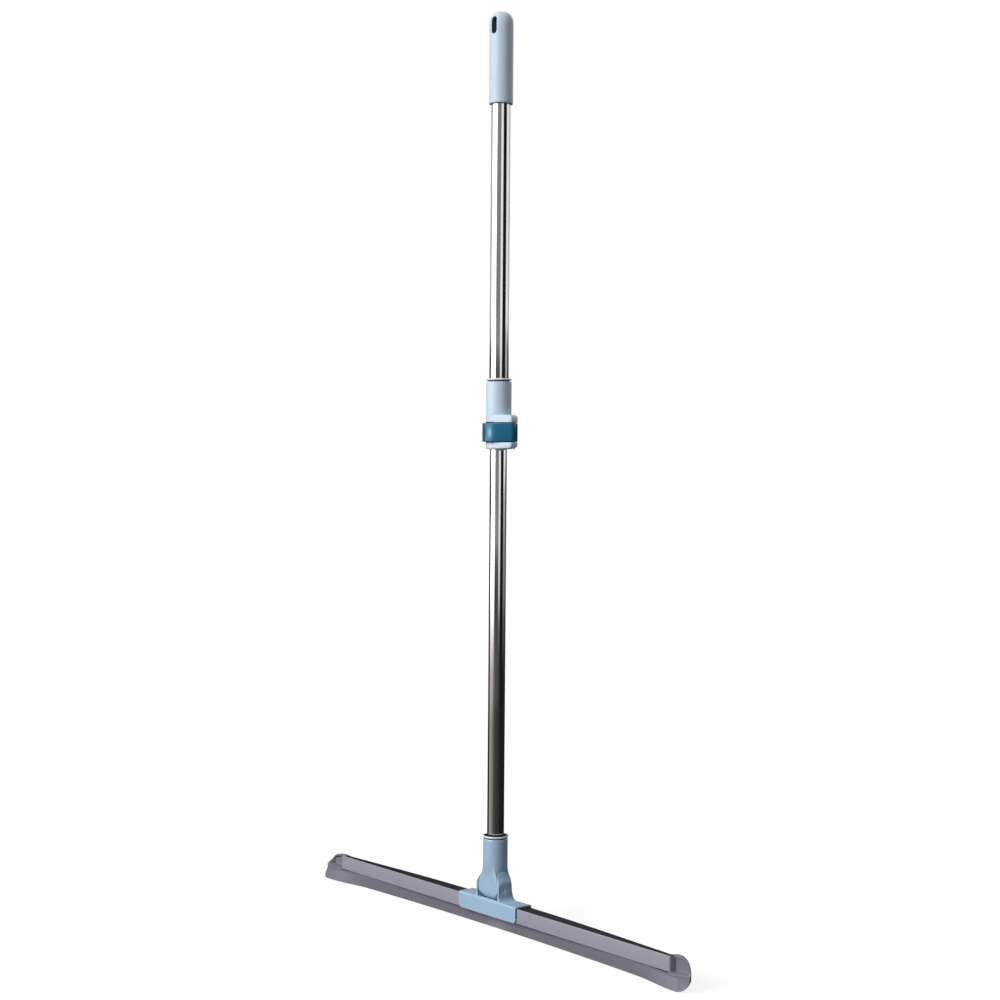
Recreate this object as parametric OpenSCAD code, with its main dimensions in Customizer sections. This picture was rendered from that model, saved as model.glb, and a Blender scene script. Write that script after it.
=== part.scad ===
// Floor squeegee: a telescopic pole with a flip lock, a tilting head, a rail and a rubber blade.
// X runs along the blade, the front faces -Y, and Z = 0 is the wiping edge on the floor.

/* [Pole] */
// Outer diameter of the upper tube
upper_tube_d = 25; // [22:0.5:32]
// Wall of both tubes
tube_wall = 0.7; // [0.5:0.1:1.2]
// Radial room between the two tubes
tube_gap = 0.8; // [0.6:0.1:1.5]
// Lower tube that shows between the neck and the collar
lower_tube_shown = 502; // [300:1:700]
// Upper tube that shows between the collar and the grip
upper_tube_shown = 354; // [200:1:500]
// Length of the plug that closes the upper tube
tube_plug_h = 12; // [8:1:20]
// Length of the bush in the mouth of the upper tube
bush_h = 31; // [15:1:50]
// Height of the guide collar on top of the lower tube
guide_h = 12; // [6:1:25]
// Length of the guide's spigot inside the lower tube
spigot_h = 25; // [10:1:40]

/* [Grip] */
// Wall of the grip round the tube
grip_wall = 3; // [2:0.5:6]
// Length of the grip
grip_len = 117; // [100:1:180]
// Height of the grip's rounded end
grip_dome_h = 18; // [8:1:24]
// Solid left between the hang slot and the tube
slot_floor = 5; // [3:0.5:12]
// Width of the hang slot
slot_w = 8.5; // [6:0.5:12]
// Height of the hang slot
slot_h = 22; // [16:1:24]
// Solid left above the hang slot
slot_cap = 8; // [5:0.5:10]
// Turn of the hang slot about the pole, seen from above
slot_turn = 10; // [0:1:60]

/* [Flip lock] */
// Wall of the collar round the upper tube
collar_wall = 4; // [3:0.5:6]
// Height of the lug under the lever
lower_lug_h = 9; // [6:1:15]
// Height of the lug above the lever
upper_lug_h = 10; // [6:1:15]
// Plain length of collar above the lugs
collar_neck_h = 42.3; // [30:0.1:60]
// Height of the shadow groove under the collar's ring
collar_groove_h = 1.7; // [1:0.1:3]
// Height of the ring on top of the collar
collar_ring_h = 3; // [2:0.5:6]
// Height of the lever
lever_h = 25; // [18:1:32]
// Thickness of the lever's band
band_t = 4; // [3:0.5:6]
// Radius of the block's upright edges
block_edge_r = 3; // [2:0.5:4]
// Distance of the hinge pin from the block's two outer faces
hinge_edge = 5; // [4.6:0.1:6]
// Diameter of the hinge pin
hinge_pin_d = 4; // [3:0.5:5]
// Offset of the cam towards the pole
cam_throw = 0.6; // [0.4:0.1:0.8]
// Angle of the band's free end past the side of the pole
band_end_angle = 7; // [0:1:30]
// Width of the brake shoe
shoe_w = 9; // [6:0.5:12]
// Height of the brake shoe
shoe_h = 15; // [8:1:20]
// Room for the brake shoe to back off as the lever opens
shoe_travel = 0.24; // [0.1:0.02:0.4]
// Turn of the lock about the pole, seen from above
clamp_turn = 29; // [0:1:60]

/* [Neck] */
// Wall of the socket round the lower tube
socket_wall = 5; // [3.5:0.5:7]
// Straight length of the socket
socket_h = 32.5; // [20:0.5:60]
// Height of the taper between socket and tongue
taper_h = 9.2; // [6:0.2:16]
// Solid left under the tube in the socket
socket_floor = 2; // [1:0.5:5]
// Height of the ring on top of the socket
neck_ring_h = 3.5; // [2:0.5:6]
// Step by which the ring stands proud of the socket
neck_ring_step = 0.75; // [0.25:0.25:2]
// Half width of the tongue at the pivot
tongue_low = 20; // [16:0.5:26]
// Half width of the tongue under the socket
tongue_top = 15; // [11.5:0.5:15.5]
// Half depth of the tongue, also the radius of its foot
tongue_r = 11.5; // [10:0.5:13]
// Radius over which the tongue keeps its full width
tongue_flat_r = 8.5; // [7:0.5:10]

/* [Bracket] */
// Length of the bracket along the rail
bracket_len = 117; // [90:1:200]
// Thickness of the bracket's top plate
plate_t = 2.5; // [2:0.5:5]
// Thickness of the bracket's front and back plates
apron_t = 2.2; // [1.5:0.1:4]
// Radius of the aprons' lower corners
apron_corner_r = 6; // [2:0.5:9]
// Depth of the back apron below the top plate
back_apron_h = 16; // [12:0.5:18]
// Wall of the cheeks
cheek_wall = 2.6; // [2:0.2:5]
// Reach of the cheeks above the pivot
cheek_r = 25.5; // [20:0.5:30]
// Half depth of the cheeks at their top
cheek_top = 6; // [4:0.5:10]
// Spread of the cheeks' feet
cheek_foot = 2; // [0:0.5:4]
// Drop of the tongue's foot below the face of the top plate
foot_drop = 1; // [0.4:0.1:1.4]
// Half width of the opening under the tongue
foot_slot = 9; // [9:0.5:10]
// Diameter of the pivot pin
pivot_d = 6; // [4:0.5:8]
// Diameter of the pivot pin's head
pivot_head_d = 9; // [8.5:0.5:11]
// Height of the pivot pin's head
pivot_head_h = 1.6; // [1:0.2:3]
// Height of the cap nut on the pivot pin
nut_h = 4.5; // [3:0.5:8]
// Flat of the tongue left round each pivot washer
washer_edge = 0.5; // [0.2:0.1:2]

/* [Rail and blade] */
// Length of the rail
rail_len = 670; // [400:5:900]
// Height of the rail
rail_h = 18.5; // [16:0.5:24]
// Front face of the rail, in front of the pole's axis
rail_front = 12; // [10:0.5:14]
// Back face of the rail at its middle, behind the pole's axis
rail_back = 7.6; // [6.5:0.1:10]
// Bow of the blade at the rail's ends, towards the front
bow = 10; // [4:0.5:12]
// Walls of the rail
rail_wall = 2.2; // [1.6:0.2:3]
// Thickness of the rail's floor
rail_floor = 7.5; // [6.5:0.5:9]
// Depth of the stiffener's top below the rail's rim
insert_drop = 1.2; // [0.4:0.2:3]
// Width of the stiffener's grooves
groove_w = 1.6; // [1:0.2:2.5]
// Depth of the stiffener's grooves
groove_h = 4; // [2:0.5:6]
// Reach of each ear beyond the rail
ear_reach = 31; // [20:0.5:40]
// Height of the lip below the ledge
lip_h = 14; // [8:0.5:25]
// Thickness of the lip at the ledge
lip_t = 6; // [4:0.5:8]
// Thickness of the lip at its wiping edge
edge_t = 2.5; // [1.5:0.25:4]
// Thickness of the ledge that the rail sits on
ledge_t = 4; // [3:0.5:6]
// Thickness of the blade's back sheet
sheet_t = 2.8; // [2:0.2:5]
// Radius of the ears' upper corners
ear_top_r = 18; // [10:1:18]
// Radius of the ears' lower corners
ear_low_r = 12; // [4:1:12]
// Width of the rolled rim round an ear
rim_w = 3; // [2:0.5:5]
// Reach of the rolled rim in front of the back sheet
rim_reach = 3; // [1:0.5:5]
// Width of the key's neck under the rail
key_neck_w = 2.5; // [2:0.25:4]
// Width of the key's head in the rail
key_head_w = 5; // [4:0.25:5.5]
// Height of the key's neck
key_neck_h = 2; // [1.5:0.25:3]
// Height of the key's head
key_head_h = 3; // [2:0.25:3.5]

/* [Screws] */
// Diameter of the screws' shanks
screw_d = 3; // [2.5:0.1:3.5]
// Diameter of the screws' heads
screw_head_d = 6; // [5:0.2:7]
// Height of the screws' heads
screw_head_h = 1.6; // [1:0.2:2.2]
// Distance of the bracket's screws from the bracket's ends
screw_inset = 16.5; // [10:0.5:18]

/* [Fits] */
// Radial clearance of pieces pressed or screwed together
press_gap = 0.03; // [0.01:0.01:0.08]
// Radial clearance of pieces that turn or slide on each other
run_gap = 0.08; // [0.04:0.01:0.1]
// Clearance between faces that pass each other
side_gap = 0.3; // [0.2:0.05:0.5]
// Gap between the tongue and each cheek
cheek_gap = 0.5; // [0.4:0.05:0.8]
// Gap between the band and the collar
band_gap = 0.5; // [0.4:0.05:0.8]
// Gap between the cam and the brake shoe
cam_gap = 0.06; // [0.05:0.01:0.1]

/* [Hidden] */
$fn = 64;

// Fragments of a full turn of the blade's bow, and chords along a rail face
bow_fn = 1440;
bow_steps = 24;
// Past-the-surface overrun of cutting shapes
over = 1;
// Radius that reaches past every outline, for cutting wedges
far = 60;
// Overrun of the ears' round corners past the blade's flat edges, so that they cross
ear_past = 0.3;

// Tube radii
upper_r = upper_tube_d / 2;
upper_in_r = upper_r - tube_wall;
lower_r = upper_in_r - tube_gap;
lower_in_r = lower_r - tube_wall;

// Heights of the head, from the floor up
rail_z0 = lip_h + ledge_t;
rail_z1 = rail_z0 + rail_h;
floor_z = rail_z0 + rail_floor;
plate_z1 = rail_z1 + plate_t;
pivot_z = plate_z1 + tongue_r - foot_drop;

// Heights of the neck
taper_z0 = pivot_z + cheek_r + side_gap;
socket_z0 = taper_z0 + taper_h;
socket_z1 = socket_z0 + socket_h;
neck_z1 = socket_z1 + neck_ring_h;
lower_z0 = socket_z0 + socket_floor;

// Heights of the flip lock
collar_z0 = neck_z1 + lower_tube_shown;
lever_z0 = collar_z0 + lower_lug_h;
lever_z1 = lever_z0 + lever_h;
lug_z1 = lever_z1 + upper_lug_h;
collar_body_z1 = lug_z1 + collar_neck_h;
collar_ring_z0 = collar_body_z1 + collar_groove_h;
collar_z1 = collar_ring_z0 + collar_ring_h;

// Heights of the upper pole, and the top of the lower tube inside it
upper_z0 = lug_z1;
bush_z1 = upper_z0 + bush_h;
lower_z1 = bush_z1 + side_gap;
grip_z0 = collar_z1 + upper_tube_shown;
grip_z1 = grip_z0 + grip_len;
slot_z1 = grip_z1 - slot_cap;
upper_z1 = slot_z1 - slot_h - slot_floor;

// Radii of the pole's fittings
grip_r = upper_r + grip_wall;
collar_r = upper_r + collar_wall;
socket_r = lower_r + socket_wall;
band_in_r = collar_r + band_gap;
band_out_r = band_in_r + band_t;

// Brake shoe, which ends halfway between collar and band
shoe_far = collar_r + band_gap / 2;

// Plan of the lever's hinge, set so that the block's corner clears the shoe as it swings
corner_far = sqrt(2) * (hinge_edge - block_edge_r) + block_edge_r;
hinge_far = shoe_far + shoe_travel + side_gap + corner_far;
hinge_x = sqrt(hinge_far * hinge_far - hinge_edge * hinge_edge);
hinge_angle = atan2(-hinge_edge, hinge_x);
hinge_r = hinge_pin_d / 2;
block_x = hinge_x + hinge_edge;
block_c = block_x - block_edge_r;
lever_mid_z = (lever_z0 + lever_z1) / 2;

// Cam that bears on the shoe
cam_r = hinge_far - shoe_far - cam_throw - cam_gap;

// Pivot of the head
pivot_r = pivot_d / 2;
cheek_in = tongue_low + cheek_gap;
cheek_out = cheek_in + cheek_wall;

// Plan of the rail and blade, whose bow turns about a centre in front of the pole
rail_half = rail_len / 2;
blade_half = rail_half + ear_reach;
bow_r = (rail_half * rail_half + bow * bow) / (2 * bow);
sheet_y0 = rail_back;
sheet_y1 = sheet_y0 + sheet_t;
apron_front = rail_front + apron_t;
apron_back = sheet_y1 + apron_t;
key_y = (rail_back + bow - rail_front) / 2;
sweep = 2 * asin(blade_half / bow_r) + 1;

// Screws
screw_r = screw_d / 2;
screw_head_r = screw_head_d / 2;
collar_screw_z = (lug_z1 + collar_body_z1) / 2;
neck_screw_z = (lower_z0 + socket_z1) / 2;
bracket_screw_x = bracket_len / 2 - screw_inset;
bracket_screw_z = plate_z1 - back_apron_h + screw_head_d;

// A tube from z0 to z1
module ring(r_out, r_in, z0, z1) {
  translate([0, 0, z0]) difference() {
    cylinder(r = r_out, h = z1 - z0);
    translate([0, 0, -over]) cylinder(r = r_in, h = z1 - z0 + 2 * over);
  }
}

// A rod along +Y from y0 to y1
module rod_y(r, y0, y1) {
  translate([0, y0, 0]) rotate([-90, 0, 0]) cylinder(r = r, h = y1 - y0);
}

// A rod along +X from x0 to x1
module rod_x(r, x0, x1) {
  translate([x0, 0, 0]) rotate([0, 90, 0]) cylinder(r = r, h = x1 - x0);
}

// A pan-head screw along Y, whose head sits at y_seat and whose tip points to -Y
module screw(y_tip, y_seat, gap = 0) {
  rod_y(screw_r + gap, y_tip, y_seat + (gap > 0 ? over : 0));
  rod_y(screw_head_r + gap, y_seat, y_seat + screw_head_h + (gap > 0 ? over : 0));
}

// A solid swept along the blade's bow from a section in (local y, z)
module bowed() {
  translate([0, -bow_r, 0]) rotate([0, 0, 90 - sweep / 2])
    rotate_extrude(angle = sweep, $fn = bow_fn) translate([bow_r, 0]) children();
}

// Distance behind the pole's axis, at x, of the bowed line that is at local y in the middle
function bow_line(x, y) = sqrt(pow(bow_r + y, 2) - x * x) - bow_r;

// A block from a flat front to the bowed line at local y, over a length and a height
module bowed_block(half_len, y_front, y_back, z0, z1) {
  step = 2 * half_len / bow_steps;
  translate([0, 0, z0]) linear_extrude(z1 - z0) polygon(concat(
    [[-half_len, y_front], [half_len, y_front]],
    [for (i = [0:bow_steps]) let (x = half_len - i * step) [x, bow_line(x, y_back)]]
  ));
}

// Turns a shape from the lock's own plan into place on the pole
module on_clamp() {
  rotate([0, 0, clamp_turn]) children();
}

// Grip half profile with an elliptical end
module grip_profile() {
  polygon(concat(
    [[0, grip_z0], [grip_r, grip_z0]],
    [for (t = [0:10:90]) [grip_r * cos(t), grip_z1 - grip_dome_h + grip_dome_h * sin(t)]]
  ));
}

// Upright hang slot, cut right through the grip
module hang_slot() {
  rotate([0, 0, slot_turn]) {
    for (z = [slot_z1 - slot_w / 2, slot_z1 - slot_h + slot_w / 2])
      translate([0, 0, z]) rod_y(slot_w / 2, -grip_r - over, grip_r + over);
    translate([-slot_w / 2, -grip_r - over, slot_z1 - slot_h + slot_w / 2])
      cube([slot_w, 2 * (grip_r + over), slot_h - slot_w]);
  }
}

module grip() {
  color([0.84, 0.89, 0.94]) difference() {
    rotate_extrude() grip_profile();
    translate([0, 0, grip_z0 - over]) cylinder(r = upper_r + press_gap, h = upper_z1 - grip_z0 + over);
    hang_slot();
  }
}

module tube_plug() {
  color([0.3, 0.32, 0.34]) translate([0, 0, upper_z1 - tube_plug_h])
    cylinder(r = upper_in_r - press_gap, h = tube_plug_h);
}

module upper_tube() {
  color([0.75, 0.76, 0.78]) difference() {
    ring(upper_r, upper_in_r, upper_z0, upper_z1);
    collar_screw_place() screw(upper_in_r - over, upper_r + over, press_gap);
  }
}

module guide_bush() {
  color([0.9, 0.9, 0.88])
    ring(upper_in_r - press_gap, lower_r + run_gap, upper_z0, bush_z1);
}

// Plan of the collar's lugs: the round collar and the block that holds the hinge
module lug_plan() {
  circle(r = collar_r);
  polygon([
    [0, 0], [0, -collar_r], [block_c, -band_out_r], [block_x, -band_out_r + block_edge_r],
    [block_x, -block_edge_r], [block_c, 0]
  ]);
  block_edges();
}

// Rounded upright edges of the block
module block_edges() {
  translate([block_c, -band_out_r + block_edge_r]) circle(r = block_edge_r);
  translate([block_c, -block_edge_r]) circle(r = block_edge_r);
}

// Place of the screw that holds the collar on its tube, on the side away from the hinge
module collar_screw_place() {
  on_clamp() rotate([0, 0, 90]) translate([0, 0, collar_screw_z]) children();
}

// Seat of the collar screw's head
function collar_seat() = collar_r - screw_head_h;

// Block towards the hinge, for the brake shoe and its window
module shoe_block(width, height, reach) {
  rotate([0, 0, hinge_angle]) translate([0, -width / 2, lever_mid_z - height / 2])
    cube([reach, width, height]);
}

module collar_body() {
  color([0.84, 0.89, 0.94]) difference() {
    on_clamp() union() {
      translate([0, 0, collar_z0]) cylinder(r = collar_r, h = collar_body_z1 - collar_z0);
      for (z = [[collar_z0, lever_z0], [lever_z1, lug_z1]])
        translate([0, 0, z[0]]) linear_extrude(z[1] - z[0]) lug_plan();
    }
    translate([0, 0, collar_z0 - over])
      cylinder(r = lower_r + side_gap, h = collar_body_z1 - collar_z0 + 2 * over);
    translate([0, 0, upper_z0])
      cylinder(r = upper_r + press_gap, h = collar_body_z1 - upper_z0 + over);
    on_clamp() {
      translate([hinge_x, -hinge_edge, collar_z0 - over])
        cylinder(r = hinge_r + press_gap, h = lug_z1 - collar_z0 - hinge_r + over);
      shoe_block(shoe_w + 2 * side_gap, shoe_h + 2 * side_gap, collar_r + over);
    }
    collar_screw_place() screw(lower_r, collar_seat(), press_gap);
  }
}

module collar_ring() {
  color([0.93, 0.95, 0.97]) union() {
    ring(collar_r, upper_r + press_gap, collar_ring_z0, collar_z1);
    ring((collar_r + upper_r) / 2, upper_r + press_gap, collar_body_z1, collar_ring_z0);
  }
}

module collar_screw() {
  color([0.6, 0.61, 0.63]) collar_screw_place() screw(upper_in_r, collar_seat());
}

module hinge_pin() {
  color([0.7, 0.71, 0.73]) on_clamp() translate([hinge_x, -hinge_edge, collar_z0])
    cylinder(r = hinge_r, h = lug_z1 - collar_z0 - hinge_r);
}

// Plan of the lever: the block by the hinge and the band that wraps the collar
module lever_plan() {
  difference() {
    union() {
      polygon([
        [0, -band_out_r], [block_c, -band_out_r], [block_x, -band_out_r + block_edge_r],
        [block_x, -block_edge_r], [block_c, 0], [hinge_x, 0], [hinge_x, -hinge_edge],
        [0, -hinge_edge]
      ]);
      block_edges();
      intersection() {
        circle(r = band_out_r);
        polygon([[0, 0], [over, -far], [-far, -far], [-far, -far * tan(band_end_angle)]]);
      }
    }
    circle(r = band_in_r);
  }
  translate([hinge_x, -hinge_edge]) rotate(hinge_angle) translate([-cam_throw, 0]) circle(r = cam_r);
}

module flip_lever() {
  color([0.13, 0.38, 0.5]) on_clamp() difference() {
    translate([0, 0, lever_z0 + side_gap]) linear_extrude(lever_h - 2 * side_gap) lever_plan();
    translate([hinge_x, -hinge_edge, lever_z0])
      cylinder(r = hinge_r + run_gap, h = lever_h);
  }
}

module brake_shoe() {
  color([0.2, 0.2, 0.21]) intersection() {
    on_clamp() shoe_block(shoe_w, shoe_h, shoe_far);
    ring(shoe_far, lower_r + run_gap, lever_z0, lever_z1);
  }
}

module guide_plug() {
  color([0.9, 0.9, 0.88]) union() {
    translate([0, 0, lower_z1 + run_gap]) cylinder(r = upper_in_r - run_gap, h = guide_h);
    translate([0, 0, lower_z1 - spigot_h])
      cylinder(r = lower_in_r - run_gap, h = spigot_h + guide_h);
  }
}

module lower_tube() {
  color([0.75, 0.76, 0.78]) difference() {
    ring(lower_r, lower_in_r, lower_z0, lower_z1);
    neck_screw_place() screw(0, lower_r + over, press_gap);
  }
}

// Place of the screw that holds the tube in the neck, at the back
module neck_screw_place() {
  translate([0, 0, neck_screw_z]) children();
}

module neck_ring() {
  color([0.93, 0.95, 0.97])
    ring(socket_r + neck_ring_step, lower_r + press_gap, socket_z1, neck_z1);
}

// Tongue half width against distance from the pivot, as a profile to turn about the pivot
module tongue_profile(reach, gap) {
  half = [
    [0, tongue_low + gap], [tongue_flat_r, tongue_low + gap], [cheek_r, tongue_top + gap],
    [reach, tongue_top + gap]
  ];
  polygon(concat(half, [for (i = [len(half) - 1:-1:0]) [half[i].x, -half[i].y]]));
}

// Solid of the tongue profile turned about the pivot
module tongue_turned(reach, gap = 0) {
  translate([0, 0, pivot_z]) rotate([0, 90, 0]) rotate_extrude() tongue_profile(reach, gap);
}

// Side outline of the tongue: a slab with a round foot, from the pivot up
module tongue_side() {
  translate([0, 0, pivot_z]) rod_x(tongue_r, -2 * tongue_low, 2 * tongue_low);
  translate([-2 * tongue_low, -tongue_r, pivot_z])
    cube([4 * tongue_low, 2 * tongue_r, taper_z0 + taper_h / 2 - pivot_z]);
}

module neck_socket() {
  color([0.62, 0.73, 0.82]) difference() {
    union() {
      intersection() {
        tongue_turned(cheek_r + 2 * taper_h);
        tongue_side();
      }
      translate([0, 0, taper_z0]) cylinder(r1 = tongue_r, r2 = socket_r, h = taper_h);
      translate([0, 0, socket_z0]) cylinder(r = socket_r, h = socket_h);
    }
    translate([0, 0, lower_z0]) cylinder(r = lower_r + press_gap, h = socket_z1);
    translate([0, 0, pivot_z]) rod_x(pivot_r + run_gap, -2 * tongue_low, 2 * tongue_low);
    neck_screw_place() screw(0, socket_r - screw_head_h, press_gap);
  }
}

module neck_screw() {
  color([0.6, 0.61, 0.63]) neck_screw_place()
    screw(lower_in_r - screw_d, socket_r - screw_head_h);
}

module pivot_pin() {
  color([0.7, 0.71, 0.73]) translate([0, 0, pivot_z]) union() {
    rod_x(pivot_r, -cheek_out - nut_h + over, cheek_out);
    rod_x(pivot_head_d / 2, cheek_out, cheek_out + pivot_head_h);
  }
}

module pivot_nut() {
  color([0.7, 0.71, 0.73]) translate([0, 0, pivot_z]) difference() {
    translate([-cheek_out - nut_h, 0, 0]) rotate([0, 90, 0])
      cylinder(r = pivot_head_d / 2, h = nut_h, $fn = 6);
    rod_x(pivot_r + press_gap, -cheek_out - nut_h + over, 0);
  }
}

module pivot_washers() {
  color([0.85, 0.85, 0.82]) translate([0, 0, pivot_z])
    for (side = [-1, 1]) difference() {
      translate([side * (tongue_low + cheek_gap / 2), 0, 0])
        rod_x(tongue_flat_r - washer_edge, -cheek_gap / 2 + run_gap, cheek_gap / 2 - run_gap);
      rod_x(pivot_r + run_gap, -cheek_out, cheek_out);
    }
}

// Front outline of the two cheeks in (x, z)
module cheek_outline() {
  half = [
    [cheek_out + cheek_foot, plate_z1 - plate_t / 2],
    [cheek_out + cheek_foot, plate_z1],
    [cheek_out, pivot_z - pivot_head_d / 2 - side_gap],
    [cheek_out, pivot_z + tongue_flat_r],
    [tongue_top + cheek_gap + cheek_wall, pivot_z + cheek_r]
  ];
  polygon(concat(half, [for (i = [len(half) - 1:-1:0]) [-half[i].x, half[i].y]]));
}

// Side outline of the cheeks in (y, z), narrower at the top
module cheek_side() {
  half = [[tongue_r, plate_z1 - plate_t / 2], [tongue_r, plate_z1], [cheek_top, pivot_z + cheek_r]];
  polygon(concat(half, [for (i = [len(half) - 1:-1:0]) [-half[i].x, half[i].y]]));
}

// An upright plate from y0 to y1 that hangs from the top plate, with rounded lower corners
module apron(y0, y1, z0) {
  x = bracket_len / 2;
  r = apron_corner_r;
  translate([0, y1, 0]) rotate([90, 0, 0]) linear_extrude(y1 - y0) {
    translate([-x, z0 + r]) square([2 * x, plate_z1 - z0 - r]);
    translate([-x + r, z0]) square([2 * (x - r), 2 * r]);
    for (side = [-1, 1]) translate([side * (x - r), z0 + r]) circle(r = r);
  }
}

module head_bracket() {
  color([0.62, 0.73, 0.82]) difference() {
    union() {
      translate([-bracket_len / 2, -apron_front, rail_z1])
        cube([bracket_len, apron_front + apron_back, plate_t]);
      apron(-apron_front, -rail_front, rail_z0);
      apron(sheet_y1, apron_back, plate_z1 - back_apron_h);
      difference() {
        intersection() {
          translate([0, tongue_r, 0]) rotate([90, 0, 0])
            linear_extrude(2 * tongue_r) cheek_outline();
          translate([-far, 0, 0]) rotate([90, 0, 90]) linear_extrude(2 * far) cheek_side();
          translate([0, 0, pivot_z]) rod_x(cheek_r, -far, far);
        }
        tongue_turned(cheek_r + taper_h, cheek_gap);
      }
    }
    translate([-cheek_in, -foot_slot, rail_z1 - over])
      cube([2 * cheek_in, 2 * foot_slot, plate_t + 2 * over]);
    translate([0, 0, pivot_z]) rod_x(pivot_r + press_gap, -far, far);
    bracket_screw_places() screw(0, apron_back, press_gap);
  }
}

// Places of the two screws that hold the bracket on the rail, at the back
module bracket_screw_places() {
  for (side = [-1, 1]) translate([side * bracket_screw_x, 0, bracket_screw_z]) children();
}

module bracket_screws() {
  color([0.6, 0.61, 0.63]) bracket_screw_places() screw(0, apron_back);
}

// Section of the key that holds the blade in the rail, in (local y, z)
module key_section(gap = 0) {
  translate([key_y - key_neck_w / 2 - gap, rail_z0 - over])
    square([key_neck_w + 2 * gap, key_neck_h + 2 * over]);
  translate([key_y - key_head_w / 2 - gap, rail_z0 + key_neck_h - gap])
    square([key_head_w + 2 * gap, key_head_h + 2 * gap]);
}

module rail() {
  color([0.6, 0.6, 0.66]) difference() {
    bowed_block(rail_half, -rail_front, rail_back, rail_z0, rail_z1);
    bowed_block(rail_half - rail_wall, -rail_front + rail_wall, rail_back - rail_wall,
      floor_z, rail_z1 + over);
    bowed() key_section(side_gap);
    bracket_screw_places() screw(-over, apron_back, press_gap);
  }
}

module rail_stiffener() {
  back = rail_back - rail_wall - press_gap;
  front = -rail_front + rail_wall + press_gap;
  top = rail_z1 - insert_drop;
  color([0.08, 0.08, 0.1]) difference() {
    bowed_block(rail_half - rail_wall - press_gap, front, back, floor_z, top);
    translate([-rail_half, front + groove_w, top - groove_h])
      cube([rail_len, groove_w, groove_h + over]);
    bowed() translate([back - 2 * groove_w, top - groove_h]) square([groove_w, groove_h + over]);
    bracket_screw_places() screw(-over, apron_back, press_gap);
  }
}

// Front outline of the blade in (x, z), drawn in by a margin all round
module blade_outline(margin = 0) {
  x = blade_half - margin;
  top_r = ear_top_r - margin;
  top_z = rail_z1 - margin + ear_past - top_r;
  low_z = ear_low_r - ear_past;
  translate([-x, low_z]) square([2 * x, top_z - low_z]);
  translate([-x + top_r, low_z]) square([2 * (x - top_r), top_z + top_r - low_z]);
  translate([-x + ear_low_r, -ear_past]) square([2 * (x - ear_low_r), 2 * ear_low_r]);
  for (side = [-1, 1]) {
    translate([side * (x - top_r), top_z]) circle(r = top_r);
    translate([side * (x - ear_low_r), low_z]) circle(r = ear_low_r);
  }
}

// A front outline in (x, z) made deep enough to cut the blade
module through_blade() {
  translate([0, far, 0]) rotate([90, 0, 0]) linear_extrude(2 * far) children();
}

// Section of the blade in (local y, z): lip, ledge and back sheet
module blade_section() {
  polygon([
    [-edge_t / 2, 0], [edge_t / 2, 0], [lip_t / 2, lip_h], [sheet_y1, lip_h], [sheet_y1, rail_z1],
    [sheet_y0, rail_z1], [sheet_y0, rail_z0], [-lip_t / 2, rail_z0], [-lip_t / 2, lip_h]
  ]);
}

module blade() {
  color([0.5, 0.49, 0.55]) difference() {
    union() {
      intersection() {
        bowed() blade_section();
        through_blade() blade_outline();
      }
      intersection() {
        bowed() translate([sheet_y0 - rim_reach, rail_z0 - over])
          square([rim_reach + sheet_t / 2, rail_h + over]);
        through_blade() difference() {
          blade_outline();
          blade_outline(rim_w);
          square([2 * rail_half + 2 * side_gap, 3 * rail_z1], center = true);
        }
      }
      intersection() {
        bowed() key_section();
        translate([-rail_half, -far, 0]) cube([rail_len, 2 * far, rail_z1]);
      }
    }
    bracket_screw_places() screw(0, apron_back, press_gap);
  }
}

grip();
tube_plug();
upper_tube();
guide_bush();
collar_body();
collar_ring();
collar_screw();
hinge_pin();
flip_lever();
brake_shoe();
guide_plug();
lower_tube();
neck_ring();
neck_socket();
neck_screw();
pivot_pin();
pivot_nut();
pivot_washers();
head_bracket();
bracket_screws();
rail();
rail_stiffener();
blade();
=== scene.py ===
import math

import bmesh
import bpy
import numpy as np
from mathutils import Matrix, Vector


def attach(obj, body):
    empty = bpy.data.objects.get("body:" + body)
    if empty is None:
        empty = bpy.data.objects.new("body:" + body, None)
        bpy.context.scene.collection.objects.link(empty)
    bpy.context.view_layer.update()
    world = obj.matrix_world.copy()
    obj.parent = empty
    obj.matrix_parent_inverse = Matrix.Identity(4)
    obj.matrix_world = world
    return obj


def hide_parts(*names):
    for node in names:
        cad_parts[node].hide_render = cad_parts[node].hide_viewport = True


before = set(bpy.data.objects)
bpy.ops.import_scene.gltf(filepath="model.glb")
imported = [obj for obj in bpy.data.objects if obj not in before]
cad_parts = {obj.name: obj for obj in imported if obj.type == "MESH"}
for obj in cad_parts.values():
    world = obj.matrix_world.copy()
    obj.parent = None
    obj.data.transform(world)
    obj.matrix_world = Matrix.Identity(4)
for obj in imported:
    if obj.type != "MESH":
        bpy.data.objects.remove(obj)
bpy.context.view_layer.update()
print("frame loaded:", len(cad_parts), "nodes")

# the view of the photograph: angles in degrees, lengths in metres, focal length and frame in pixels,
# sensor in millimetres
view = dict(turn=50.78, tip=1.451, roll=0.435, yaw=-0.061, away=2.3802, height=0.6169, focal=1838.2,
            frame=1000, sensor=36, clip=60)
turn, aim = math.radians(view["turn"]), math.radians(view["turn"] + view["yaw"])
tip, roll = math.radians(view["tip"]), math.radians(view["roll"])
look = Vector((-math.sin(aim) * math.cos(tip), math.cos(aim) * math.cos(tip), -math.sin(tip)))
side = look.cross(Vector((0, 0, 1))).normalized()
over = side.cross(look)
sideR = math.cos(roll) * side + math.sin(roll) * over
overR = -math.sin(roll) * side + math.cos(roll) * over
cameraData = bpy.data.cameras.new("camera")
cameraData.sensor_width = view["sensor"]
cameraData.lens = view["focal"] * view["sensor"] / view["frame"]
cameraData.clip_end = view["clip"]
camera = bpy.data.objects.new("camera", cameraData)
place = Matrix((sideR, overR, -look)).transposed().to_4x4()
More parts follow.
